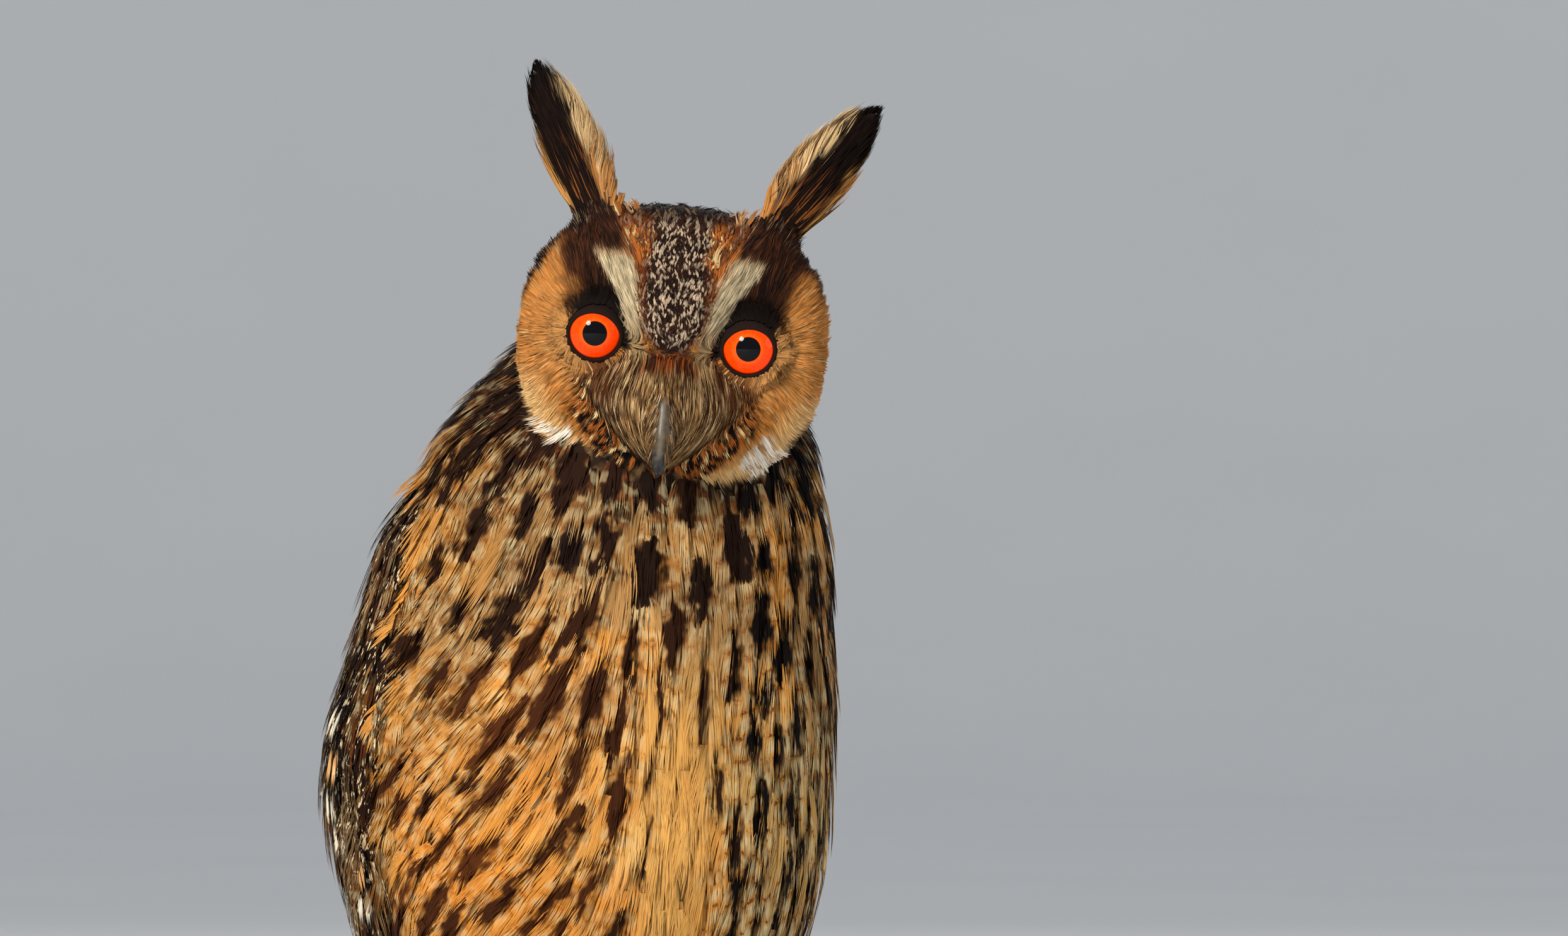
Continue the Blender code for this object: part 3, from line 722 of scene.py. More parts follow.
class Coat:
    """Feathers collected as arrays, then made into meshes under the triangle limit."""

    def __init__(self, name, look, slot, unwrap, skin, rng):
        self.name, self.look, self.slot, self.unwrap = name, look, slot, unwrap
        self.skin = skin
        self.rng = rng
        self.chunks = []

    def tufts(self, where, flow, length, wide, low, high, paint, strands, rows, steps, cling=1.0, marks=None):
        """A layer of small fan-shaped tufts. where is the roots with their normals."""
        count = len(where[0])
        rng = self.rng
        length = length * (1 + rng.normal(0, 0.12, count))
        wide = wide * (1 + rng.normal(0, 0.1, count))
        path, up = self.trace(where, length, flow, steps, cling)
        shapes = fan(rng, count, strands, rows, wide)
        tall = (high * (0.7 + 0.6 * rng.random(count)))[:, None, None]
        height = rise(shapes[1], low, tall) + rng.random((count, strands, 1)) * 0.15 * tall
        streak = np.tile([0.0, 1.0, 0.0], (count, 1))
        self.add(path, up, shapes, height, paint, streak, rng.random(count), wide, marks)

    def vanes(self, where, flow, length, wide, low, high, paint, barbs, streak=None, cling=1.0, marks=None,
              barb_width=0.44):
        """A layer of true feathers: loose barbs that leave the shaft at a small angle."""
        count = len(where[0])
        rng = self.rng
        length = length * (1 + rng.normal(0, 0.07, count))
        wide = wide * (1 + rng.normal(0, 0.07, count))
        path, up = self.trace(where, length, flow, 4, cling)
        shapes = vane(rng, count, barbs, 4, wide, barb_width)
        across, along, _ = shapes
        tall = (high * (0.85 + 0.3 * rng.random(count)))[:, None, None]
        curl = across**2 / 110 + 0.3 * (2 * across / wide[:, None, None]) ** 2
        height = np.maximum(rise(along, low, tall, 0.8) - curl, 0.12)
        height = height + rng.random((count, 2 * barbs, 1)) * 0.14
        streak = np.zeros((count, 3)) if streak is None else streak
        self.add(path, up, shapes, height, paint, streak, rng.random(count), wide, marks)

    def trace(self, where, lengths, flow, steps, cling):
        """Paths from the roots that follow the flow over the skin, with the normals along them.

        cling below 1 lets a path leave the skin, as at the tip of an ear tuft.
        """
        p, n = where
        path, lifted = [p], [n]
        for _ in range(steps):
            aim = p + tangent(flow(p), n) * (lengths / steps * MM)[:, None]
            near, found = self.skin.nearest(aim)
            p = aim + (near - aim) * cling
            n = unit(found + n)
            path.append(p)
            lifted.append(n)
        return np.stack(path, 1), np.stack(lifted, 1)

    def painted_in_place(self, colours, vary, fade=0.0, clump=0.3):
        """Strands take the markings of the skin under them, with some variation by strand.

        clump is the share of strands that take their tuft's random number instead of their own.
        """
        rng = self.rng

        def paint(path, side, across, along):
            shape = along.shape[:2]
            places, _ = on_path(path, 0.25 + 0.68 * along + rng.normal(0, 0.08, (*shape, 1)))
            stray = rng.normal(0, 0.38, (*shape, 1))
            places = places + side * ((across + stray) * MM)[..., None]
            own = rng.random(shape)
            together = rng.random(shape) < np.reshape(clump * np.ones(len(path)), (-1, 1))
            rough = np.where(together, rng.random((len(path), 1)), own)
            rough = rough[..., None] * np.ones_like(along)
            found = colours(places.reshape(-1, 3), rough.ravel()).reshape(places.shape)
            shade = 1 + rng.normal(0, vary, (*shape, 1, 1))
            return found * shade * (1 - fade * (1 - np.clip(along, 0, 1)))[..., None]
        return paint

    def painted_by_feather(self, colours, edge, edge_share, wide):
        """Each feather has one ground colour, with another along its edges."""
        rng = self.rng

        def paint(path, side, across, along):
            count = len(path)
            middle = path[:, path.shape[1] // 2]
            shade = 1 + rng.normal(0, 0.08, (*along.shape[:2], 1, 1))
            ground = colours(middle, rng.random(count))[:, None, None, :] * shade * np.ones((*along.shape, 1))
            outward = np.abs(2 * across / wide)
            share = step(outward, 0.3, 0.95) * rng.uniform(0.3, 1, (count, 1, 1)) * edge_share
            return mix(ground, edge, share)
        return paint

    def add(self, path, normals, strands, height, paint, streak, seed, wide, marks=None):
        """Adds the ribbons of many feathers, each with a pointed last row.

        strands holds three arrays for each feather, ribbon and row: across in mm, along as a share
        of the path, and the ribbon's width in mm. height is in mm over the skin. paint gives the
        ribbons' colours from the paths. streak is (feathers, 3) and wide is each feather's width.
        With marks, the streaks lie where those are and not along each feather's shaft.
        """
        across, along, width = strands
        count, ribbons, rows = across.shape
        centre, ahead = on_path(path, along)
        up = unit(on_path(normals, along)[0])
        side = unit(np.cross(ahead, up))
        centre = centre + up * (height * MM)[..., None]
        half = (width * 0.5)[..., None] * MM
        roll = (seed[:, None, None] * 977.0 + np.arange(ribbons)[None, :, None] * 0.618) % 1.0 - 0.5
        offset = side * (across * MM)[..., None]
        lean = (side + up * roll[..., None] * 0.5) * half
        edges = np.stack([centre + offset - lean, centre + offset + lean], 3)
        both_edges = edges[:, :, :-1].reshape(count, ribbons, -1, 3)
        points = np.concatenate([both_edges, (centre + offset)[:, :, -1:]], 2)
        colour = paint(path, side, across, along)

        edge = np.concatenate([np.tile([-0.5, 0.5], rows - 1), [0.0]])
        a = doubled(across) + doubled(width) * edge
        t = doubled(along)
        a = a + 0.55 * np.sin(4000.0 * seed[:, None] + 7.3 * np.arange(ribbons))[..., None]
        if marks is None:
            mark, streaks = self.shaft_marks(path_length(path), a, t, streak, seed)
        else:
            mark, streaks = self.laid_marks(marks, centre, points)
        root = self.unwrap(path[:, 0])[:, None, None]
        u = root[..., 0] + PATCH * np.clip(a / wide[:, None, None], -0.5, 0.5)
        v = root[..., 1] + PATCH * (0.5 - np.clip(t, 0, 1))
        ribbon_normals = unit(up + side * (roll * 0.16)[..., None] - ahead * 0.10)
        values = {
            "points": points, "ground": doubled(colour), "mark": mark, "streak": streaks,
            "normals": doubled(ribbon_normals),
        }
        self.chunks.append({
            "triangles": self.ribbon_triangles(count * ribbons, rows),
            "uv": np.stack([u, v], 3).reshape(-1, 2),
            **{key: value.reshape(-1, 3) for key, value in values.items()},
        })

    @staticmethod
    def shaft_marks(length, a, t, streak, seed):
        """Marks of streaks that lie along each feather's shaft."""
        ribbons = np.arange(a.shape[1])
        from_tip = (1 - t) * length[:, None, None]
        from_tip = from_tip + 1.3 * np.sin(9000.0 * seed[:, None] + 3.1 * ribbons)[..., None]
        mark = vectors(a, from_tip - streak[:, None, None, 1], seed[:, None, None])
        return mark, np.broadcast_to(streak[:, None, None, :], mark.shape)

    @staticmethod
    def laid_marks(marks, centre, points):
        """Marks of the streaks laid on the skin, one streak for each ribbon."""
        nearest = marks.seen_from(centre[:, :, -3:-1].mean(2).reshape(-1, 3))
        across, along = marks.local(points.reshape(len(nearest), -1, 3), nearest)
        mark = vectors(across, along, marks.shapes[nearest, 3][:, None])
        streaks = np.broadcast_to(marks.shapes[nearest, None, :3], mark.shape)
        return mark, streaks

    @staticmethod
    def ribbon_triangles(ribbons, rows):
        """Triangles of ribbons that narrow to one point in their last row."""
        per = 2 * rows - 1
        pattern = []
        for k in range(0, per - 3, 2):
            pattern += [(k, k + 1, k + 3), (k, k + 3, k + 2)]
        pattern.append((per - 3, per - 2, per - 1))
        base = (np.arange(ribbons) * per)[:, None, None]
        return (base + np.array(pattern)[None]).reshape(-1, 3)

    def build(self):
        """Makes the meshes, each under the limit."""
        group, size, made = [], 0, 0
        for chunk in self.split_chunks():
            if group and size + len(chunk["triangles"]) > MOST_TRIANGLES:
                made += 1
                self.join(group, made)
                group, size = [], 0
            group.append(chunk)
            size += len(chunk["triangles"])
        self.join(group, made + 1)

    def split_chunks(self):
        """Cuts a chunk that is too big between two of its ribbons."""
        for chunk in self.chunks:
            faces = chunk["triangles"]
            pieces = math.ceil(len(faces) / (MOST_TRIANGLES * 0.9))
            for part in np.array_split(np.arange(len(faces)), pieces):
                used = faces[part]
                low, high = used.min(), used.max() + 1
                values = {key: value[low:high] for key, value in chunk.items()}
                yield {**values, "triangles": used - low}

    def join(self, group, number):
        starts = np.cumsum([0] + [len(chunk["points"]) for chunk in group[:-1]])
        merged = {key: np.vstack([chunk[key] for chunk in group]) for key in group[0]}
        triangles = np.vstack([chunk["triangles"] + start for chunk, start in zip(group, starts)])
        values = {key: merged[key] for key in ("ground", "mark", "streak")}
        name = f"{self.name}_{number}"
        points, uv, normals = merged["points"], merged["uv"], merged["normals"]
        finished(mesh_object(name, points, triangles, self.look, values, uv, normals), self.slot)


# Unwraps of the skin: places on it to places in the unit square


def unwrap_body(points):
    turn, height = body_place(points)
    return np.stack([0.5 + turn / 380, 0.06 + 0.9 * np.clip((height + 100) / 330, 0, 1)], -1)


def unwrap_head(points):
    """Laid out round the face: the middle of the face is the middle of the square."""
    p = unit(to_head(points) + np.array([0, -2, 0]))
    from_front = np.arccos(np.clip(-p[..., 1], -1, 1)) / math.pi
    around = np.arctan2(p[..., 2], p[..., 0])
    reach = 0.47 * from_front**0.8
    return np.stack([0.5 + reach * np.cos(around), 0.5 + reach * np.sin(around)], -1)


def unwrap_legs(points):
    """Each leg with its foot is wrapped round its own upright axis, in its own half of the square."""
    x = np.abs(points[..., 0]) / MM - 20
    y = points[..., 1] / MM - 4
    u = 0.25 + 0.44 * np.arctan2(x, -y) / (2 * math.pi) + 0.5 * (points[..., 0] > 0)
    return np.stack([u, 0.08 + 0.84 * np.clip((height_of(points) + 30 + np.hypot(x, y)) / 110, 0, 1)], -1)


# The lie of the feathers


def side_of(x):
    return np.where(x < 0, -1.0, 1.0)


def mask_lower(ax):
    """The height of the mouth's line, the lower edge of the bristles round the bill."""
    return -33.5 + 0.75 * ax + 0.01 * ax**2


def inside_bill_mask(x, z):
    """How far a place on the face is inside the bristly V round the bill: above 0 is inside."""
    ax = np.abs(x)
    upper = -3.2 - 0.85 * np.maximum(ax - 9.5, 0) - z
    return np.minimum(upper, (z - mask_lower(ax)) * 0.8)


def brow_place(ax, z):
    """How far a place is from the middle of the pale brow, and the brow's half width there."""
    middle = 8.2 + 0.34 * np.maximum(z, -3) + 0.18 * np.maximum(z - 11, 0)
    half = 1.8 + 2.3 * step(z, 8, 19)
    return ax - middle, half


def flow_head(points):
    """The lie of the feathers on the head, as world directions."""
    p = to_head(points)
    x, y, z = np.moveaxis(p, -1, 0)
    ax, s = np.abs(x), side_of(x)
    from_eye = unit(vectors(x - s * EYE_X, 0, z))
    away = unit(p - np.array([0, -30, -4]))
    flow = mix(from_eye, away, step(np.hypot(x / 38, (z + 1) / 35), 0.85, 1.05))

    off_brow, half = brow_place(ax, z)
    up_brow = vectors(s * 0.50, 0, 1)
    flow = mix(flow, up_brow, step(off_brow, half + 4, half + 0.5) * step(z, -3, 2))
    forehead = vectors(x * 0.012 + 1.6 * (noise(points, 0.0012, 6.0) - 0.5), 0, 1)
    flow = mix(flow, forehead, step(off_brow, -half + 0.5, -half - 1.5) * step(z, -5, -1))

    to_tip = unit(vectors(s * 1.2 - x, -0.1, -35.5 - z))
    spread_out = unit(vectors(s * 0.45 * step(ax, 3.5, 10), -0.3, -1))
    bristles = unit(mix(spread_out, to_tip, step(z, -10, -20)))
    flow = mix(flow, bristles, step(inside_bill_mask(x, z), -1.0, 1.0))
    beard = step(mask_lower(ax) - z, 0.0, 1.5) * step(ax, 30, 24)
    flow = mix(flow, unit(away + vectors(s * 0.3, 0, -0.6)), beard)
    flow = mix(flow, np.array([0, 0.25, -1]), step(y, 4, 26))
    return unit(flow) @ HEAD_TURN.T


def flow_body(points):
    """The lie of the feathers on the trunk and neck: down, and swept back over the flanks."""
    turn, height = body_place(points)
    right_sweep = 46 * step(turn, -5, -62) * step(turn, -175, -120)
    left_sweep = 9 * step(turn, 15, 75) * step(turn, 175, 120)
    sweep = (left_sweep - right_sweep) * (0.5 + 0.5 * step(height, 165, 115))
    sweep = np.radians(sweep + 14 * (noise(points, 0.022, 3.0) - 0.5))
    t = np.radians(turn)
    flow = vectors(np.cos(t) * np.sin(sweep), np.sin(t) * np.sin(sweep), -np.cos(sweep))
    away = unit(points - HEAD_ORIGIN)
    return unit(mix(flow, away * 0.8 + np.array([0, 0, -0.5]), step(height, 160, 190)))


def flow_wing(points):
    height = height_of(points)
    inward = -side_of(points[..., 0]) * 0.30 * step(height, 90, 10)
    return unit(vectors(inward, 0.28 + 0.12 * step(height, 60, -20), -1))


def flow_tail(points):
    return unit(np.broadcast_to([0.0, 0.12, -1.0], points.shape))


def flow_leg(points):
    """Down the leg and out along the toes."""
    y, z = points[..., 1], points[..., 2]
    ankle = vectors(side_of(points[..., 0]) * 0.020, 0, PERCH_TOP + 0.004)
    away = unit((points - ankle) * np.array([0.5, 1, 1]))
    round_perch = unit(vectors(0, z - PERCH_AXIS, -y))
    along_toe = round_perch * np.where(y < 0, -1.0, 1.0)[..., None] + away * 0.4
    return unit(mix(along_toe, np.array([0.0, -0.05, -1.0]), step(height_of(points), 6, 14)))


# The markings of the head: colours at places on it, laid over one another


class Face:
    """Places on the head with the measures that its markings are drawn from.

    rough is a random number from 0 to 1 for each place.
    """

    def __init__(self, points, rough):
        self.rough = rough
        self.x, self.y, self.z = on_head(points)
        self.ax = np.abs(self.x)
        self.lumps = noise(points, 0.004, 5.0)
        self.fine = noise(points, 0.0016, 9.0)
        self.jitter = (self.lumps - 0.5) * 2
        self.eye = np.hypot(self.ax - EYE_X, self.z)
        self.off_brow, self.half_brow = brow_place(self.ax, self.z)
        self.below_mouth = mask_lower(self.ax) - self.z

    def blob(self, x, z, wide, tall):
        """The distance from a place on each side of the face, counted in a blob's half sizes."""
        return np.hypot((self.ax - x) / wide, (self.z - z) / tall)

    def beard(self):
        thick = 4.5 + 5.0 * step(self.ax, 0, 9)
        lower = step(self.below_mouth + self.jitter, thick + 1, thick - 1)
        return step(self.below_mouth, 0, 0.8) * lower * step(self.ax + self.jitter, 25, 21)

    def white_corner(self):
        """The white lower corners of the disc, which slope up and outward."""
        x, z = self.ax - 27.5, self.z + 28.3
        along, off = x * 0.94 + z * 0.34, z * 0.94 - x * 0.34
        reach = np.hypot(along / 6.6, (off - 0.4) / (3.6 + 1.4 * (self.x > 0)))
        return step(reach + 0.35 * self.jitter, 1.1, 0.75)

    def ember(self):
        """The ember patches between the brows and the ear tufts."""
        return step(self.blob(10.2, 22.5, 1.0, 1.5) + 1.8 * self.jitter, 4.6, 2.4)


def disc(face, colour):
    rough, eye, ax, z = face.rough, face.eye, face.ax, face.z
    pale = step(eye, 17, 9) * step(ax, EYE_X - 3, EYE_X + 4) * step(z, 12, 2)
    lower_rim = step(np.hypot(face.x / 38.5, (z + 3) / 35), 0.80, 0.97) * step(z, -8, -18)
    return layered(
        DISC * 0.92 * np.ones_like(colour), (DISC * 0.6, step(face.fine, 0.40, 0.85) * 0.9),
        (DISC_STRAND, step(rough, 0.66, 0.90) * 0.45),
        (ORANGE * 0.66, step(z, -6, -20) * 0.35 * step(eye, 14, 20)), (DISC_PALE * 0.8, pale * 0.35),
        (DARK * 1.6, step(eye, 14.0, 8.5) * step(rough, 0.62, 0.80) * 0.7),
        (CREAM * 0.9, step(rough, 0.84, 0.98) * 0.4 * step(eye, 9, 14)), (CREAM, lower_rim * 0.55),
    )


def wedge(face, colour):
    """The dark wedge over the eye, the black round the eye and in its inner corner, and a painted shadow of
    the brow over the top of the eye.
    """
    rough, eye, ax, z, jitter = face.rough, face.eye, face.ax, face.z, face.jitter
    outer_edge = 26.6 + 4.4 * step(z, 9, 23) + 2.4 * step(face.x, 0, 8) + 2.4 * jitter
    beside = step(face.off_brow, face.half_brow - 0.9, face.half_brow + 0.3)
    above = step(z + 0.5 * jitter, 19.5, 21.5) * step(ax + jitter, 13.2, 15.2)
    there = step(ax, outer_edge + 2.2, outer_edge - 2.0) * np.maximum(beside, above)
    there = there * step(z - 0.25 * np.maximum(ax - EYE_X, 0), 3.0, 6.0)
    brown = np.maximum(step(rough, 0.50, 0.90) * step(z, 8, 18), step(ax, outer_edge - 6, outer_edge) * 0.8)
    dark = layered(DARK, (BLACKISH, step(z, 22, 9)), (WEDGE_BROWN, brown * 0.8))
    # Black over the top of the eye: partly dark feathers, partly a painted shadow of the brow
    black_top_and_brow_shadow = step(eye, 11.8, 9.8) * step(z + (EYE_X - ax) * 0.45, 0.5, 3.5)
    corner = step(face.blob(10.6, -2.2, 1, 1), 2.6, 1.2)
    lids = np.maximum(corner, step(eye, 8.2, 7.5))
    return layered(colour, (dark, there), (BLACKISH * 0.8, black_top_and_brow_shadow), (BLACKISH, lids))


def bristles(face, colour):
    """The bristles round the bill, the rusty bridge of the nose and the cheeks beside it."""
    rough, ax, z, fine = face.rough, face.ax, face.z, face.fine
    inside = inside_bill_mask(face.x, z)
    brown_side = step(ax + 4 * (fine - 0.5), 8.0, 13) * step(z, -25, -18)
    under_brow = step(ax, 4.5, 6.5) * step(ax, 11.5, 9.0) * step(z, -19, -9)
    amber = step(np.hypot(ax / (2.0 + 4.0 * step(z, -7, -3)), (z + 5.0) / 4.4), 1.15, 0.6)
    strands = layered(
        BRISTLE * 0.85, (DARK * 0.9, step(rough, 0.42, 0.68) * 0.95),
        (BRISTLE_PALE, step(rough, 0.26, 0.08) * 0.8),
        (BRISTLE_SIDE, brown_side * 0.85 * step(rough, 0.1, 0.3)),
    )
    strands = strands * (1 - 0.36 * step(z, -15, -6) * step(ax, 5.5, 3.5))[..., None]
    strands = layered(
        strands, (BRISTLE_UNDER_BROW, under_brow * step(rough, 0.62, 0.42) * 0.7),
        (DARK, step(inside, 3.2, 0.4) * step(z, -8, -12) * 0.5 * step(fine, 0.2, 0.6)),
        (AMBER, amber * 0.75 * step(rough, 0.0, 0.4)),
    )
    nose = step(np.abs(face.x + 0.6 * face.jitter), 7.6, 6.0) * step(z, -1.5, -2.8)
    nose = nose * step(z + 0.35 * ax, -8.5, -5.5)
    nose_colour = mix(NOSE, DARK, step(rough, 0.50, 0.65) * 0.85)
    cheek = step(face.blob(16.8, -12.6, 1.2, 1.5) + face.jitter, 5.4, 2.6)
    cheek_colour = mix(CHEEK, CHEEK_PALE, step(rough, 0.84, 0.92))
    return layered(
        colour, (strands, step(inside, -1.2, 1.6)), (nose_colour, nose * 0.9), (cheek_colour, cheek * 0.85)
    )


def mouth(face, colour):
    """The mouth's line, the mottled beard under it, the white corners of the disc and a white chin."""
    rough = face.rough
    line = step(np.abs(face.below_mouth - 0.1), 1.5, 0.7) * step(face.ax, 23, 20)
    mottle = layered(BEARD, (BLACKISH, step(rough, 0.36, 0.42)), (CREAM, step(rough, 0.86, 0.9) * 0.9))
    chin = step(np.hypot((face.x - 2.5) / 1.6, face.z + 37.0), 2.6, 1.2)
    return layered(
        colour, (BLACKISH, line * 0.95), (mottle, face.beard()),
        (mix(BUFF, WHITE, step(rough, 0.1, 0.4)), face.white_corner()), (WHITE, chin * step(rough, 0.3, 0.5)),
    )


def forehead(face, colour):
    """The speckled tongue of the forehead, the pale brows and the ember patches beside them."""
    rough, ax, z, off_brow, half = face.rough, face.ax, face.z, face.off_brow, face.half_brow
    tongue = (8.6 - 1.2 * step(z, 8, 1)) * np.sqrt(np.clip((z + 3.4) / 6.0, 0, 1))
    middle = step(ax + 0.7 * face.jitter, tongue + 0.8, tongue - 0.6) * step(z, -3.4, -3.0)
    between = step(off_brow, -half + 0.8, -half - 0.4) * step(z, 1, 6)
    flecks = step(rough, 0.62, 0.66) * (0.35 + 0.65 * step(ax, tongue, tongue - 3)) * step(z, -2.5, 0)
    speckled = layered(
        DARK * 1.6, (DARK * 0.8, step(face.lumps, 0.35, 0.7)),
        (SPECKLE_EDGE, step(ax, tongue - 2.0, tongue + 0.3) * 0.7),
        (SPECKLE, flecks * (0.55 + 0.4 * face.fine)),
    )
    brow = step(np.abs(off_brow), half + 0.7, half - 0.5) * step(z, -8, -4)
    brow = brow * step(z + face.jitter, 21.6, 19.2)
    brow_colour = mix(BROW, BROW_FOOT, step(z, 8, -4) * 0.9)
    brow_colour = brow_colour * (1 - 0.65 * 0.75 * step(rough, 0.60, 0.80))[..., None]
    ember = layered(EMBER, (DARK, step(rough, 0.55, 0.62) * 0.8), (CREAM * 0.9, step(rough, 0.86, 0.9) * 0.8))
    return layered(
        colour, (speckled, np.maximum(middle, between)), (brow_colour, brow), (ember, face.ember() * 0.9)
    )


def behind_disc(face, colour):
    x, y, z, lumps = face.x, face.y, face.z, face.lumps
    edge = 1.02 - 0.03 * step(x, 5, -20) * step(z, -14, 0)
    rim = step(np.hypot(x / 37.6, (z + 1.5) / 35.2) + (lumps - 0.5) * 0.05 - edge, 0.0, 0.04)
    rim = np.maximum(rim, step(y, -2, 3)) * (1 - face.white_corner()) * (1 - face.beard())
    crown = step(z, 28, 31) * (1 - face.ember())
    flecks = step(face.rough, 0.80, 0.86) * (0.35 + 0.35 * step(y, 2, 8))
    back = layered(DARK, (BLACKISH, step(lumps, 0.4, 0.8)), (NAPE_FLECK, flecks))
    return mix(colour, back, np.maximum(rim, crown))


def head_ground(points, rough):
    """The face's and crown's colours. rough is a random number from 0 to 1 for each place."""
    face = Face(points, rough)
    colour = np.zeros_like(points)
    for marking in (disc, wedge, bristles, mouth, forehead, behind_disc):
        colour = marking(face, colour)
    return colour


def ear_ends(side):
    """The root and the tip of an ear tuft's middle line, in the head's frame."""
    root = EAR_ROOT * np.array([side, 1, 1])
    lean = EAR_LEAN[side]
    reach = np.array([side * math.sin(lean) * EAR_LENGTH, EAR_LEAN_BACK, math.cos(lean) * EAR_LENGTH])
    return root, root + reach


def ear_place(points, side):
    """Across, from -1 on the outer edge to 1 on the inner one, and along from 0 to 1."""
    root, tip = ear_ends(side)
    offset = to_head(points) - root
    axis = tip - root
    along = (offset @ axis) / (axis @ axis)
    inward = unit(np.array([-side * axis[2], 0, side * axis[0]]))
    return (offset - along[..., None] * axis) @ inward / EAR_HALF_WIDTH, along


def ear_ground(points, rough, side):
    """Black with a pale inner edge, a narrow buff outer one and tan flecks near the foot."""
    across, along = ear_place(points, side)
    lumps = noise(points, 0.003, 31.0)
    wavy = across + 0.3 * (lumps - 0.5)
    inner_edge = 0.26 + 0.05 * (1 - along)
    pale = layered(
        EAR_INNER_FOOT, (EAR_INNER_TOP, step(along + 0.4 * (rough - 0.5), 0.1, 0.6)),
        (DARK * 1.5, step(rough, 0.78, 0.84) * step(along, 0.55, 0.25) * 0.8),
    )
    outer = step(wavy + 0.25 * (1 - step(along, 0.0, 0.3)), -0.50, -0.66) * step(along, 0.86, 0.76)
    return layered(
        BLACKISH * 0.6, (DARK * 0.6, lumps), (EAR_FLECK, step(rough, 0.76, 0.84) * step(along, 0.62, 0.3)),
        (pale, step(wavy, inner_edge, inner_edge + 0.16)), (EAR_OUTER, outer),
        (BLACKISH * 0.6, step(along, 0.86, 0.94) * step(wavy, 0.75, 0.5)),
    )


# The markings of the body and the limbs


def parting_share(turn, height):
    """How far a place is in the smooth pale parting down the middle of the belly."""
    return step(np.abs(turn + 5), 17, 4) * step(height, 122, 98)


def back_share(turn):
    return step(np.abs(turn), 92, 118)


def body_ground(points, rough):
    """The trunk's and neck's colours without the dark streaks."""
    turn, height = body_place(points)
    lumps = noise(points, 0.012, 2.0)
    wide = noise(points, 0.030, 7.0)
    fine = noise(points * np.array([1, 1, 0.35]), 0.0035, 12.0)
    right = step(turn, -8, -35)
    left = step(turn, 4, 24)
    brown = step(wide, 0.46, 0.70) * 0.65
    breast = layered(BUFF * 0.9, (GOLD, step(lumps, 0.38, 0.68)), (BUFF * 0.55, brown))
    belly = layered(
        GOLD, (STRAW, step(lumps, 0.4, 0.75)), (mix(ORANGE, GOLD, 0.2 + 0.8 * lumps) * 0.94, right * 0.75),
        (mix(BUFF, STRAW, lumps), left * 0.8),
    )
    colour = layered(
        breast, (belly, step(height, 128, 70)),
        (OVAL, step(fine, 0.66, 0.80) * (0.2 + 0.25 * left) * (1 - 0.7 * right)),
        (mix(STRAW * 1.04, GOLD, 0.15 + 0.5 * lumps), parting_share(turn, height) * 0.9),
    )
    mantle = mix(DARK, GOLD * 0.6, step(lumps, 0.45, 0.85) * 0.6)
    nape = mix(NAPE, BUFF * 0.9, step(rough + 0.5 * (fine - 0.5), 0.66, 0.86) * 0.7)
    shade = (0.92 + 0.16 * rough)[..., None]
    return layered(colour * shade, (mantle, back_share(turn)), (nape, ruff_share(points)))


def ruff_share(points):
    """How far a place is in the dark ruff that goes round the head under the disc."""
    turn, height = body_place(points)
    x, _, z = on_head(points)
    from_disc = (np.hypot(x / 38, (z + 2) / 35.5) - 1) * 36
    edge = 8.5 + 9 * (noise(points, 0.006, 4.0) - 0.5) + 9 * step(turn, -35, -75) + 5 * step(turn, 30, 60)
    near = step(from_disc, edge + 2.5, edge - 2.5)
    return np.maximum(near, step(height, 172, 182) * step(np.abs(turn + 20), 35, 70))


def body_streaks(points, rough):
    """Half width and half length in mm, the ovals' strength and the warmth of streaks on the body."""
    turn, height = body_place(points)
    upper = step(height, 98, 138)
    lower = 1 - upper
    left = step(turn, 4, 24)
    right = step(turn, -12, -40)
    back = back_share(turn)
    again = (rough * 17.0) % 1.0
    parting = parting_share(turn, height)
    plain = step((rough * 41.0) % 1.0, 0.80, 0.86) * right * lower
    half = 1.7 + 1.9 * upper + 0.45 * right * lower + 1.2 * back * lower
    half = half * (0.6 + 0.8 * rough) * (1 - parting) * (1 - plain)
    length = 10.8 - 1.6 * upper + 2.0 * right * lower + 4.0 * (again - 0.5)
    ovals = (0.6 + 0.4 * left - 0.15 * right) * lower + 0.6 * upper
    ovals = np.where(back > 0.5, 0.3, ovals * (1 - parting))
    warm = 0.05 + 0.2 * again + lower * (0.1 + right * (0.2 + 0.3 * again))
    return np.stack([half, length, ovals, np.clip(warm - 0.3 * left, 0.0, 1.0)], -1)


def streak_gap(points):
    """The gap between streaks on the body, in mm."""
    turn, height = body_place(points)
    upper = step(height, 98, 138)
    return 6.8 + 0.6 * upper - 1.2 * step(turn, 4, 24) * (1 - upper) + 1.8 * back_share(turn)


def wing_ground(points, rough):
    rusty = step(noise(points, 0.010, 21.0), 0.60, 0.85) * 0.4
    return layered(
        DARK * 0.7, (RUFOUS * 0.5, rusty), (GOLD * 0.5, step(rough, 0.76, 0.9) * 0.3),
        (BUFF, step(rough, 0.92, 0.96) * 0.4),
    )


def tail_ground(points, rough):
    return mix(GOLD * 0.55, PALE * 0.5, rough * 0.6)


def leg_ground(points, rough):
    return mix(LEG_BUFF, CREAM, rough * 0.7)


def ground_of(points, part, rough):
    """The ground colour at places on the skin, by the part that each belongs to."""
    colour = np.zeros((len(points), 3))
    rules = {
        "head": head_ground, "bill": head_ground, "neck": body_ground, "trunk": body_ground,
        "tail": tail_ground, "wing": wing_ground, "leg": leg_ground, "foot": leg_ground,
    }
    for number, name in enumerate(UNDER_COAT):
        here = part == number
        if name.startswith("ear"):
            colour[here] = ear_ground(points[here], rough[here], 1 if name.endswith("left") else -1)
        else:
            colour[here] = rules[name.split("_")[0]](points[here], rough[here])
    return colour


# Feather shapes


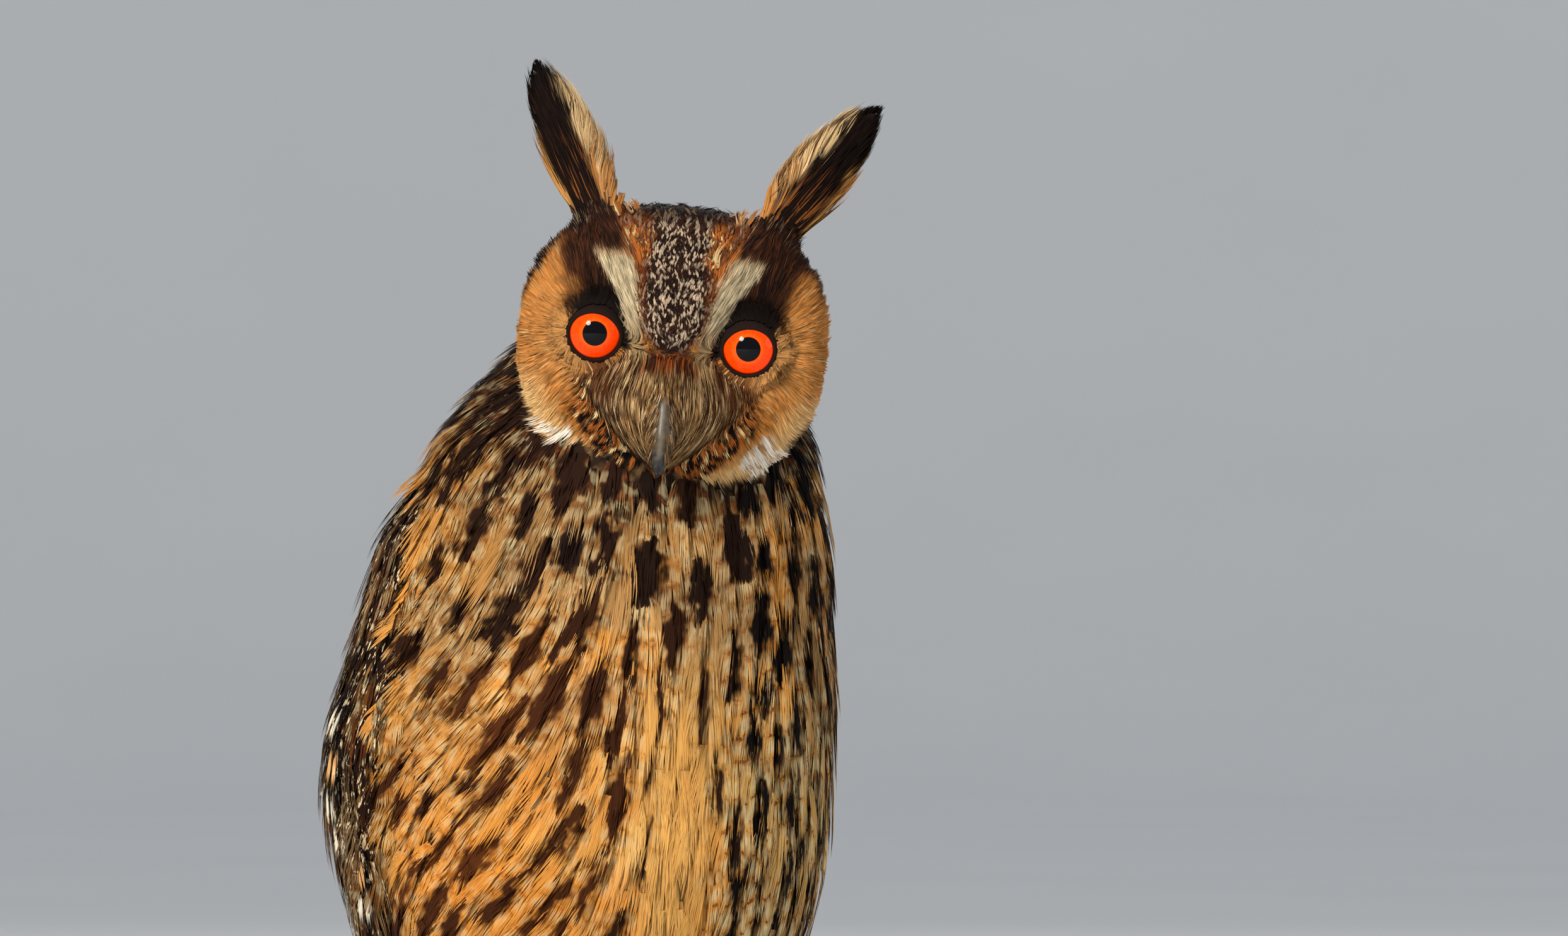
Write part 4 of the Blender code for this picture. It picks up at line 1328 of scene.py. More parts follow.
def fan(rng, count, strands, rows, wide):
    """Strands of a small tuft that fan out from its root: across, along and widths."""
    q = np.linspace(-1, 1, strands)[None] + rng.normal(0, 0.18, (count, strands))
    q = np.clip(q, -1.15, 1.15)
    r = np.linspace(0, 1, rows)
    reach = 1 - 0.30 * np.abs(q) ** 2 + rng.normal(0, 0.07, (count, strands))
    along = reach[..., None] * r
    at_root = 0.35
    across = q[..., None] * (at_root + (1 - at_root) * r**0.8) * wide[:, None, None] * 0.5
    width = (wide[:, None, None] / strands) * 2.0 * np.array([0.75, *np.linspace(1.0, 0.5, rows - 2), 0.0])
    return across, along, width * np.ones_like(across)


def outline_of(place):
    """The half width of a contour feather as a share of its greatest, from root 0 to tip 1."""
    blunt = 0.5
    end = np.sqrt(np.clip(1 - np.clip((place - blunt) / (1.02 - blunt), 0, 1) ** 2.2, 0, 1))
    return end * (0.45 + 0.55 * step(place, 0.1, 0.5))


def vane(rng, count, barbs, rows, wide, barb_width):
    """Barbs of a true feather, from its shaft to its outline on both sides."""
    both = (count, 2 * barbs)
    side = np.tile([-1.0, 1.0], barbs)[None]
    place = np.repeat(np.linspace(0.22, 0.98, barbs), 2)[None] + rng.normal(0, 0.02, both)
    place = place + rng.normal(0, 0.035, both) * step(place, 0.5, 1.0)
    edge = side * outline_of(np.minimum(place, 0.99)) * wide[:, None] * 0.5
    edge = edge * rng.uniform(0.45, 1.12, both)
    start = place - 0.42 - 0.12 * rng.random(both)
    r = np.linspace(0, 1, rows)
    across = edge[..., None] * (0.62 + 0.38 * (1 - (1 - r) ** 1.6))
    along = np.maximum(start[..., None] + (place - start)[..., None] * r, 0.0)
    width = barb_width * np.array([0.2, *np.linspace(1.0, 0.7, rows - 2), 0.0])
    return across, along, width * np.ones_like(across)


def rise(along, low, high, bow=0.9):
    """Height over the skin, from the root's to the tip's."""
    return low + (high - low) * np.clip(along, 0, 1.2) ** bow


def blade_mesh(name, look, paths, ups, widths, lifts, colours, marks, rng, aligned=False):
    """Long flight or tail feathers as fine grids, each on a strip of its own in the map.

    aligned bars lie at the same heights on every feather, not at the same distances from its tip.
    """
    rows, columns = 46, 11
    count = len(paths)
    lengths = path_length(paths)
    t = np.linspace(0, 1, rows)[None, :, None] * np.ones((count, 1, columns))
    c = np.linspace(-1, 1, columns)[None, None, :] * np.ones((count, rows, 1))
    round_tip = np.sqrt(np.clip(1 - np.clip((t - 0.86) / 0.14, 0, 1) ** 2.3, 0, 1))
    narrow_root = 0.45 + 0.55 * step(t, 0.0, 0.25)
    notch = 1 + rng.normal(0, 0.014, (count, rows, 1)) * (np.abs(c) > 0.9)
    half = widths[:, None, None] * 0.5
    across = c * half * np.maximum(round_tip * narrow_root, 0.03) * notch
    centre, ahead = on_path(paths, t)
    up = unit(on_path(ups, t)[0])
    side = unit(np.cross(ahead, up))
    camber = 0.9 * (across / half) ** 2 - 0.18 * (np.abs(c) < 0.05)
    height = lifts[:, None, None] * (0.35 + 0.65 * t) - camber + 0.35 * t**3
    points = centre + side * (across * MM)[..., None] + up * (height * MM)[..., None]
    seed = rng.random(count)[:, None, None] * np.ones_like(t)
    along = points[..., 2] / MM + 2.4 * seed if aligned else (1 - t) * lengths[:, None, None]
    values = {
        "ground": colours[:, None, None, :] * np.ones((*t.shape, 1)),
        "mark": np.stack([across, along, seed], -1),
        "streak": marks[:, None, None, :] * np.ones((*t.shape, 1)),
    }
    strip = (np.arange(count)[:, None, None] + 0.5 + 0.45 * c) / count
    uv = np.stack([strip, 0.02 + 0.96 * t], -1).reshape(-1, 2)
    starts = np.arange(count)[:, None, None] * rows * columns
    triangles = (grid_faces(rows, columns, False)[None] + starts).reshape(-1, 3)
    values = {key: value.reshape(-1, 3) for key, value in values.items()}
    finished(mesh_object(name, points.reshape(-1, 3), triangles, look, values, uv), "plumage_dark")


def anywhere(points):
    return np.ones(len(points), bool)


# The coats of each part


def clear_of_eyes_and_bill(points):
    x, y, z = on_head(points)
    in_eye = (np.hypot(np.abs(x) - EYE_X, z) < 8.2) & (y < -2)
    bare = 0.55 + 1.4 * step(z, -25, -28.5)
    in_bill = (np.abs(x) < bare) & (z < -13) & (z > -36) & (y < -18)
    return ~(in_eye | in_bill)


def face_sizes(points):
    """The gap, length, width and rise in mm of the tufts at places on the head."""
    x, y, z = on_head(points)
    ax = np.abs(x)
    eye = np.hypot(ax - EYE_X, z)
    off_brow, half = brow_place(ax, z)
    brow = (np.abs(off_brow) < half + 0.3) & (z > -8) & (z < 22)
    bristly = (inside_bill_mask(x, z) > 0) & (y < -6)
    below = mask_lower(ax) - z
    sizes = np.tile([1.05, 7.0, 2.2, 1.5], (len(points), 1))
    rules = [
        (eye < 15, (0.95, 5.0, 1.8, 1.0)),
        (eye < 10.5, (0.75, 3.6, 1.2, 0.8)),
        ((np.hypot(x / 37.6, (z + 1.5) / 35.2) > 1.0) | (y > -2), (1.6, 5.0, 2.4, 2.0)),
        (y > 3, (1.8, 5.0, 2.8, 1.5)),
        ((off_brow < -half) & (y < 3) & (z > 21), (0.9, 2.4, 1.1, 1.1)),
        (brow, (0.8, 5.0, 1.1, 1.8)),
        (bristly, (0.8, 7.0, 1.15, 1.7)),
        (bristly & (ax < 5), (0.7, 5.0, 0.9, 1.9)),
        ((below > 0) & (below < 11) & (ax < 25) & (y < -4), (1.05, 3.2, 1.5, 1.9)),
    ]
    for where, size in rules:
        sizes[where] = size
    return sizes.T


def forehead_places(points):
    """Where the finely speckled tongue of the forehead lies."""
    x, y, z = on_head(points)
    off_brow, half = brow_place(np.abs(x), z)
    near = np.abs(x) < 9.6 + 2.5 * step(z, 19, 24)
    return (off_brow < -half + 0.4) & (z > -3.5) & (z < 27) & (y < 6) & near


def head_clump(points):
    """How far the strands of a tuft share one colour: most in the mottled places, least in the disc."""
    x, y, z = on_head(points)
    ax = np.abs(x)
    off_brow, half = brow_place(ax, z)
    below = mask_lower(ax) - z
    mottled = ((off_brow < -half) & (z > -4)) | ((below > 0) & (ax < 27)) | (y > -6)
    bristly = ((inside_bill_mask(x, z) > -0.5) | (np.abs(off_brow) < half)) & (y < -2)
    return 0.42 + 0.50 * mottled + 0.20 * bristly


def coat_head(skin, look):
    coat = Coat("coat_face", look, "plumage_face", unwrap_head, skin, np.random.default_rng(31))

    def most_places(points):
        return clear_of_eyes_and_bill(points) & ~forehead_places(points)

    where = skin.scatter(["head", "bill_upper"], lambda p: face_sizes(p)[0] * 0.82, most_places, 32)
    _, length, wide, high = face_sizes(where[0])
    paint = coat.painted_in_place(head_ground, 0.15, 0.12, head_clump(where[0]))
    coat.tufts(where, flow_head, length, wide * 0.8, 0.15, high, paint, 8, 4, 3, 0.9)
    where = skin.scatter(["head"], 0.46, forehead_places, 34, 0.7)
    paint = coat.painted_in_place(head_ground, 0.15, 0.1, 0.95)
    coat.tufts(where, flow_head, 1.4, 0.52, 0.2, 1.0, paint, 4, 3, 2, 0.9)
    where = eyelid_roots(coat.rng)
    paint = coat.painted_in_place(head_ground, 0.10)
    coat.tufts(where, flow_head, 2.9, 1.1, 0.05, 0.55, paint, 6, 3, 3, 0.55)
    coat.build()


LID_RIM = 8.2


def lid_slope(reach):
    """How far the outer part of an eyelid slopes back into the face, in mm."""
    return 2.6 * np.maximum(reach - LID_RIM, 0)


def eyelid_roots(rng):
    """Roots of the tiny feathers on the eyelids, with their normals."""
    count = 1300
    turn = rng.random((2, count)) * 2 * math.pi
    reach = 7.15 + 3.1 * rng.random((2, count))
    side = np.array([[1.0], [-1.0]])
    ball = EYE_RADIUS + 0.9 - 0.5 * np.maximum(reach - 7.6, 0)
    depth = -np.sqrt(ball**2 - np.minimum(reach, LID_RIM) ** 2) + lid_slope(reach)
    offset = np.stack([reach * np.cos(turn), depth, reach * np.sin(turn)], -1)
    places = offset + vectors(side * EYE_X, EYE_Y, 0)
    normals = unit(unit(offset) + np.array([0, -0.8, 0])) @ HEAD_TURN.T
    return from_head(places.reshape(-1, 3)), normals.reshape(-1, 3)


def coat_ears(skin, look):
    coat = Coat("coat_ears", look, "plumage_dark", unwrap_head, skin, np.random.default_rng(41))
    for side, part in ((1, "ear_tuft_left"), (-1, "ear_tuft_right")):
        root, tip = (from_head(end) for end in ear_ends(side))
        axis = tip - root
        inward = unit(np.array([-side * axis[2], 0.0, side * axis[0]]))

        def flow(points):
            across, along = ear_place(points, side)
            stray = 0.5 * (noise(points, 0.0015, 3.0) - 0.5)
            lean = across * 0.20 * (0.6 - along) + (0.90 + stray) * step(across, 0.2, 0.75) * (1 - along)
            return unit(unit(axis) + inward * lean[..., None])

        def colours(points, rough):
            return ear_ground(points, rough, side)

        where = skin.scatter([part], 1.15, anywhere, 42 + side)
        length = 13.0 - 9.5 * step(ear_place(where[0], side)[1], 0.55, 0.92)
        paint = coat.painted_in_place(colours, 0.12, 0.0, 0.55)
        coat.tufts(where, flow, length, 1.9, 0.2, 1.9, paint, 8, 4, 3, 0.35)
        ear_fluff(coat, side)
    coat.build()


def ear_fluff(coat, side):
    """Loose pale down at the inner foot of an ear tuft."""
    def foot(points):
        x, y, z = on_head(points)
        return (np.hypot((side * x - 15.0) / 4.5, (y + 5.0) / 5.5) < 1.0) & (z > 22)

    def flow(points):
        stray = noise(points, 0.0015, 8.0) - 0.5
        return unit(vectors(side * (0.35 + 1.2 * stray), 0.25, 1)) @ HEAD_TURN.T

    def colours(points, rough):
        return layered(DOWN_TAN, (DOWN_PALE, step(rough, 0.25, 0.75)), (DARK, step(rough, 0.80, 0.84)))

    where = coat.skin.scatter(["head"], 1.5, foot, 47 + side)
    paint = coat.painted_in_place(colours, 0.12, 0.3, 0.6)
    coat.tufts(where, flow, 7.5, 1.8, 0.2, 2.4, paint, 6, 4, 3, 0.15)


def body_gap(points):
    turn, height = body_place(points)
    back = back_share(turn)
    gap = 6.6 + 0.8 * step(height, 112, 138) * (1 - back) + 2.4 * back
    return gap * (1 - 0.35 * step(height, 160, 182))


def coat_body(skin, look):
    """Downy tufts under large loose feathers, then the neck's feathers, with one set of streaks."""
    rng = np.random.default_rng(51)
    body = ["trunk", "neck"]
    places = skin.scatter(body, streak_gap, anywhere, 50, 0.5)
    marks = Marks(places, flow_body, body_streaks(places[0], rng.random(len(places[0]))))
    coat = Coat("coat_breast", look, "plumage_breast", unwrap_body, skin, rng)
    where = skin.scatter(body, 2.7, anywhere, 52)
    paint = coat.painted_in_place(body_ground, 0.06, 0.15)
    coat.tufts(where, flow_body, 12.0, 4.2, 0.5, 2.3, paint, 11, 4, 2, marks=marks)

    where = skin.scatter(["trunk"], body_gap, anywhere, 53, 0.58)
    gap = body_gap(where[0])
    turn, height = body_place(where[0])
    length = gap * 3.6 * (1 - 0.45 * step(turn, -58, -80) * step(turn, -110, -100))
    tall = 3.8 - 1.0 * parting_share(turn, height)
    paint = coat.painted_in_place(body_ground, 0.04, 0.05, 0.6)
    coat.vanes(where, flow_body, length, gap * 1.75, 1.9, tall, paint, 56, marks=marks, barb_width=0.42)
    coat.build()

    coat = Coat("coat_neck", look, "plumage_dark", unwrap_body, skin, rng)
    where = skin.scatter(["neck"], 4.2, anywhere, 62, 0.75)
    paint = coat.painted_in_place(body_ground, 0.08, 0.05, 0.5)
    coat.vanes(where, flow_body, 14.0, 8.0, 0.5, 3.6, paint, 26, marks=marks)
    coat.build()


# Height, middle and half sizes of a folded wing's section, and its first and last turn in degrees
WING_ROWS = np.array([
    (-82, 74, 14.5, 12.5, 146, 164), (-66, 68, 21, 17.5, 138, 167), (-40, 59, 28, 24, 130, 170),
    (-10, 49, 38, 32, 122, 172), (20, 37, 50, 43, 112, 174), (47, 28, 62, 54, 103, 173),
    (76, 22, 72, 62, 94, 170), (98, 19, 73, 64, 88, 166), (122, 15, 67, 59, 84, 160),
    (145, 12, 62, 54, 80, 148), (157, 10, 58, 50, 78, 134), (165.6, 9, 52, 45, 80, 118),
], float)
# Height, middle and half width of the tail's section
TAIL_ROWS = np.array([
    (-97, 81, 10), (-93, 80.5, 20), (-84, 79, 25), (-60, 75, 25), (-25, 69, 22.5), (10, 62, 20),
    (40, 55, 18), (62, 50, 15),
], float)
BLADE_STEPS = 16


def at_height(table, height):
    """A table's other columns at heights that its first column gives."""
    return (np.interp(height, table[:, 0], column) for column in table.T[1:])


def on_wing(side, share, height):
    """A place on the folded wing's outer face: share runs from its front edge to its back edge."""
    middle, a, b, first, last = at_height(WING_ROWS, height)
    turn = np.radians(first + (last - first) * share)
    return vectors(side * a * np.sin(turn), middle - b * np.cos(turn), height + PERCH_TOP / MM) * MM


def wing_blades(skin, look, side):
    """Primaries, then secondaries and tertials over them.

    Each feather has its share across the wing at its root and tip, the heights of both, its width,
    its lift over the skin and the period of its bars.
    """
    primary_tips = [-64, -76, -84, -82, -74, -64, -55, -47, -40, -34]
    rows = [
        (0.10 + 0.045 * k, 0.18 + 0.055 * k, 64, tip, 17, 0.5 + 0.10 * k, 11.0)
        for k, tip in enumerate(primary_tips)
    ]
    rows += [
        (0.16 + 0.062 * k, 0.42 + 0.045 * k, 86, -26 + 4.6 * k, 18, 1.4 + 0.09 * k, 9.5)
        for k in range(12)
    ]
    rng = np.random.default_rng(70 + side)
    t = np.linspace(0, 1, BLADE_STEPS + 1)
    paths, ups = [], []
    for u0, u1, top, tip, *_ in rows:
        line = on_wing(side, u0 + (u1 - u0) * t, top + (tip - top) * t)
        near, normals = skin.nearest(line)
        free = step(height_of(line), -60, -84)
        paths.append(near + (line - near) * free[:, None])
        ups.append(normals)
    rows = np.array(rows)
    count = len(rows)
    colours = mix(GOLD * 0.42, PALE * 0.36, 0.3 + 0.35 * rng.random(count))
    marks = np.stack([rows[:, 6], np.full(count, 0.85), np.full(count, 0.6)], -1)
    name = "flight_left" if side > 0 else "flight_right"
    blade_mesh(name, look, np.array(paths), np.array(ups), rows[:, 4], rows[:, 5], colours, marks, rng, True)


def tail_blades(skin, look):
    """Twelve tail feathers seen from behind and the same twelve seen from below."""
    rng = np.random.default_rng(91)
    t = np.linspace(0, 1, BLADE_STEPS + 1)
    paths, ups, lifts = [], [], []
    for back in (1, -1):
        for k in range(12):
            place = (k - 5.5) / 5.5
            height = 52 + (-97 + 9 * place**2 - 52) * t
            middle, half = at_height(TAIL_ROWS, height)
            x = place * (half - 8.0 * (1 - 0.2 * t))
            near, normals = skin.nearest(vectors(x, middle + back * 9, height + PERCH_TOP / MM) * MM)
            paths.append(near)
            ups.append(unit(normals + np.array([0, back, 0.1 * back])))
            on_top = 6 - abs(k - 5.5) if back > 0 else abs(k - 5.5)
            lifts.append(0.5 + 0.16 * on_top)
    count = len(paths)
    colours = mix(GOLD * 0.50, PALE * 0.45, rng.random(count) * 0.6)
    marks = np.tile([15.0, 0.85, 0.5], (count, 1))
    widths = np.full(count, 21.0)
    paths, ups, lifts = np.array(paths), np.array(ups), np.array(lifts)
    blade_mesh("tail_feathers", look, paths, ups, widths, lifts, colours, marks, rng)


def wing_gap(points):
    return 7.0 + 3.4 * step(height_of(points), 150, 80)


def wing_streaks(points, rough):
    """Half width, half length and ovals of each covert's streak, with white ovals at the front edge."""
    front = step((points[:, 1] + 0.15 * np.abs(points[:, 0])) / MM, 26, 12)
    ovals = np.maximum(0.25 + 0.4 * (rough > 0.6), front)
    return vectors(1.8 + 0.9 * rough, 9.0, ovals)


def coat_wings(skin, look):
    coat = Coat("coat_wings", look, "plumage_dark", unwrap_body, skin, np.random.default_rng(81))
    parts = ["wing_left", "wing_right"]
    where = skin.scatter(parts, 3.2, anywhere, 82)
    paint = coat.painted_in_place(wing_ground, 0.15, 0.15)
    coat.tufts(where, flow_wing, 8.0, 4.2, 0.2, 1.2, paint, 7, 3, 2, 0.9)

    def covert(points):
        return height_of(points) > 52

    where = skin.scatter(parts, wing_gap, covert, 83, 0.7)
    gap = wing_gap(where[0])
    streak = wing_streaks(where[0], coat.rng.random(len(gap)))
    paint = coat.painted_by_feather(wing_ground, mix(OVAL, GOLD, 0.5) * 0.8, 0.35, 10.0)
    coat.vanes(where, flow_wing, gap * 2.9, gap * 1.6, 0.5, 2.8, paint, 28, streak, 0.9)
    edge_feathers(coat)
    coat.build()


def edge_feathers(coat):
    """Small feathers down the side of each wing, white or buff inside a black edge."""
    heights = np.arange(56.0, 116.0, 11.0)
    turn = np.radians(104 + 2.5 * np.sin(heights))
    x, y, z = 75 * np.sin(turn), 12 - 75 * np.cos(turn), heights + PERCH_TOP / MM
    where = coat.skin.nearest(np.concatenate([vectors(side * x, y, z) * MM for side in (1, -1)]))
    count = len(where[0])
    width = 7.0
    light = mix(PALE, GOLD, (np.arange(count) % 3 == 1) * 0.8)

    def paint(path, side, across, along):
        outward = np.abs(2 * across / width)
        inside = step(outward, 0.72, 0.56) * step(along, 0.86, 0.74) * step(along, 0.28, 0.40)
        shade = 1 + coat.rng.normal(0, 0.05, (*along.shape[:2], 1, 1))
        return mix(BLACKISH, light[:, None, None], inside) * shade

    coat.vanes(where, flow_wing, 15.0, width, 1.6, 3.4, paint, 34)


def coat_tail(skin, look):
    """Coverts over the root of the tail, above and below."""
    coat = Coat("coat_tail", look, "plumage_dark", unwrap_body, skin, np.random.default_rng(95))
    width = 12.7

    def root(points):
        return height_of(points) > 8

    def colours(points, rough):
        return layered(GOLD, (CREAM, rough), (GOLD * 0.45, step(points[:, 1] / MM, 52, 64)))

    where = skin.scatter(["tail"], 7.5, root, 96, 0.7)
    streak = np.tile([0.9, 8.0, 0.5], (len(where[0]), 1))
    paint = coat.painted_by_feather(colours, CREAM, 0.5, width)
    coat.vanes(where, flow_tail, 27.0, width, 0.5, 2.6, paint, 28, streak)
    coat.build()


def leg_sizes(points):
    """The gap, length, width and rise in mm of the tufts at places on the legs and feet."""
    thigh = step(height_of(points), 8, 26)
    foot = step(height_of(points), 7, 1)
    return (
        1.5 + 1.5 * thigh - 0.35 * foot, 4.8 + 8.0 * thigh - 1.2 * foot, 2.1 + 2.6 * thigh,
        1.0 + 1.5 * thigh - 0.35 * foot,
    )


def coat_legs(skin, look):
    coat = Coat("coat_legs", look, "plumage_breast", unwrap_legs, skin, np.random.default_rng(101))
    parts = ["leg_left", "leg_right", "foot_left", "foot_right"]

    def off_perch(points):
        return np.hypot(points[..., 1], points[..., 2] - PERCH_AXIS) > 0.0195

    where = skin.scatter(parts, lambda p: leg_sizes(p)[0], off_perch, 102)
    _, length, wide, high = leg_sizes(where[0])
    paint = coat.painted_in_place(leg_ground, 0.1, 0.15)
    coat.tufts(where, flow_leg, length, wide, 0.1, high, paint, 6, 4, 2)
    coat.build()


# The skin, eyes, bill, claws, perch and stand


def make_skin(skin, look):
    """The one skin, with the black rims of the eyelids joined in."""
    rng = np.random.default_rng(5)
    points, triangles = [skin.points], [skin.triangles]
    grounds = [ground_of(skin.points, skin.part, rng.random(len(skin.points))) * 0.75]
    start = len(skin.points)
    for side in (1, -1):
        rim, faces = eyelid(side)
        reach = np.hypot(rim[:, 0] - side * EYE_X, rim[:, 2])
        face = head_ground(from_head(rim), np.full(len(rim), 0.5))
        points.append(from_head(rim))
        triangles.append(faces + start)
        grounds.append(mix(BLACKISH * 0.6, face, step(reach, 7.3, 8.3)))
        start += len(rim)
    values = {"ground": np.vstack(grounds)}
    made = mesh_object("skin", np.vstack(points), np.vstack(triangles), look, values)
    finished(made, "plumage_breast", *FLESH)


def eyelid(side):
    """A black rim round an eye in the head's frame: points and triangles, in millimetres."""
    rows = [(6.3, 0.1), (6.5, 0.6), (6.9, 0.85), (7.5, 0.7), (8.2, 0.3), (9.2, 0.0), (10.4, 0.0), (11.4, 0.0)]
    r, lift = np.array(rows).T[..., None]
    around = 72
    a = ring(around)
    top = np.maximum(0, np.sin(a))
    inner = np.maximum(0, np.cos(a + 0.35)) ** 5
    share = np.clip((r - 6.5) / 2.2, 0, 1)
    lowered = (1.3 * top + 0.6 * np.maximum(0, np.sin(a + 0.6))) * np.maximum(0, 1 - (r - 6.3) / 2.4)
    reach = r + (1.4 * inner + 0.3 * top) * share - lowered + 0.15 * inner
    y = -np.sqrt((EYE_RADIUS + lift) ** 2 - np.minimum(reach, LID_RIM) ** 2) + lid_slope(reach)
    points = vectors(side * (EYE_X - reach * np.cos(a)), EYE_Y + y, reach * np.sin(a))
    return points.reshape(-1, 3), grid_faces(len(rows), around)[:, ::side]


def make_eye(side, look):
    bm = bmesh.new()
    bmesh.ops.create_uvsphere(bm, u_segments=96, v_segments=64, radius=EYE_RADIUS)
    bmesh.ops.triangulate(bm, faces=bm.faces)
    x, z, y = np.array([v.co for v in bm.verts]).T * np.array([[1], [1], [-1]])
    faces = np.array([[v.index for v in f.verts] for f in bm.faces])
    bm.free()
    y = y - CORNEA_BULGE * np.maximum(0, -y / EYE_RADIUS - 0.55) / 0.45
    points = vectors(side * EYE_X + x, EYE_Y + y, z)
    marks = vectors(np.where(y < 0, np.hypot(x, z), 20.0), np.arctan2(z, x), y)
    end = "left" if side > 0 else "right"
    eye = mesh_object("eyeball_" + end, from_head(points), faces, look, {"mark": marks})
    finished(eye, "eye", "eye_" + end)


# Height, middle, half width and half depth of the bill's section
BILL_ROWS = np.array([
    (-33.6, -30.6, 0.15, 0.2), (-32, -31.2, 1.4, 1.8), (-28, -31, 2.5, 3), (-22, -29.5, 3.6, 4.2),
    (-15, -26, 4.4, 5), (-8, -20, 4.6, 5),
], float)


def make_bill(look):
    """The hooked upper bill as a fine loft, with a pale painted highlight down its middle."""
    around, rows = 40, 44
    z = -8 - 25.6 * np.linspace(0, 1, rows) ** 0.9
    smooth = np.array([1, 2, 3, 2, 1]) / 9
    y, half_width, half_depth = (
        np.convolve(np.pad(v, 2, mode="reflect", reflect_type="odd"), smooth, "valid")[:, None]
        for v in at_height(BILL_ROWS, z)
    )
    z = z[:, None]
    a = ring(around)
    lean = np.radians(35 - 1.6 * (z + 34))
    offset = half_depth * np.sin(a) * (1 + 0.25 * np.maximum(0, -np.sin(a)) ** 3)
    points = vectors(half_width * np.cos(a), y + offset * np.cos(lean), z + offset * np.sin(lean))
    points = points.reshape(-1, 3)
    sides = mix(rgb(0.08, 0.08, 0.09), rgb(0.24, 0.20, 0.15), step(points[:, 2], -30.0, -25.0))
    # A pale line down the top of the bill: a painted highlight
    ridge_highlight = step(np.abs(points[:, 0]), 0.8, 0.25) * step(points[:, 2], -30.5, -25.5)
    values = {"ground": mix(sides, rgb(0.36, 0.32, 0.26), ridge_highlight)}
    bill = mesh_object("bill", from_head(points), grid_faces(rows, around), look, values)
    finished(bill, "horn", "bill_upper")


def make_claws(look):
    """Each claw from its solid, made smooth and fine."""
    for node in sorted(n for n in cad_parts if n.startswith("talon_")):
        name = node.replace("talon", "claw")
        mesh = as_mesh(welded(node, 0.13 * MM), name)
        mesh.polygons.foreach_set("use_smooth", np.ones(len(mesh.polygons), bool))
        mesh.materials.append(look)
        claw = placed(name, mesh)
        finer = claw.modifiers.new("finer", "SUBSURF")
        finer.levels = finer.render_levels = 2
        finished(claw, "horn", node)


def make_perch(look):
    points, normals, triangles = remeshed(welded("perch"), 1.1 * MM, 2)
    long = points * np.array([0.35, 1, 1])
    ridges = noise(long, 0.0028, 3.0) * 0.6 + noise(long, 0.0011, 8.0) * 0.4
    side = step(np.abs(points[:, 0]) / MM, 92.3, 91.5)
    points = points - normals * (0.9 * (ridges * side)[:, None] * MM)
    finished(mesh_object("branch", points, triangles, look), "bark", "perch")


def turned(profile, around, discs=(0, -1)):
    """Points and triangles of a turned shape from (radius, height) pairs, with discs at some ends."""
    radius, height = np.array(profile, float).T[..., None]
    a = ring(around)
    rows = len(profile)
    points = vectors(radius * np.cos(a), radius * np.sin(a), height).reshape(-1, 3)
    faces = [grid_faces(rows, around)]
    k = np.arange(around)
    for end in discs:
        hub = np.full(around, len(points))
        first = end % rows * around
        disc_faces = np.stack([hub, first + k, first + (k + 1) % around], 1)
        faces.append(disc_faces if end else disc_faces[:, ::-1])
        points = np.vstack([points, (0, 0, profile[end][1])])
    return points, np.vstack(faces)


def lathe(name, profile, x, look, slot, node, around):
    """A turned piece with its axis at x, from its profile in millimetres."""
    points, faces = turned(profile, around)
    obj = mesh_object(name, points * MM + np.array([x, 0, 0]), faces, look)
    sharp = obj.modifiers.new("edges", "EDGE_SPLIT")
    sharp.split_angle = math.radians(40)
    finished(obj, slot, node)


def rounded(radius, low, high, bevel):
    """The lower and the upper half of a profile with rounded edges, from the bottom up."""
    turn = math.pi / 2 * np.arange(7) / 6
    inset = radius - bevel
    lower = [(inset + bevel * math.sin(a), low + bevel - bevel * math.cos(a)) for a in turn]
    upper = [(inset + bevel * math.cos(a), high - bevel + bevel * math.sin(a)) for a in turn]
    return lower, upper


def make_stand():
    wood, steel = stand_material(), steel_material()
    lower, upper = rounded(112, 0, 14, 2)
    groove = [(112, 4.6), (111.5, 4.9), (111.5, 5.5), (112, 5.8)]
    lathe("base", lower + groove + upper, 0, wood, "stand", "stand_base", 192)
    for side, end in ((1, "left"), (-1, "right")):
        node = "stand_rod_" + end
        heights = [v.co.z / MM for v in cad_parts[node].data.vertices]
        low, high = min(heights), max(heights)
        collar = [(4.0, 0.4), (4.25, 0.8), (4.25, 3.0), (4.0, 3.4)]
        profile = [(4.0, low), *((r, low + up) for r, up in collar), (4.0, high)]
        lathe("rod_" + end, profile, side * 0.058, steel, "stand_rod", node, 64)


# The studio


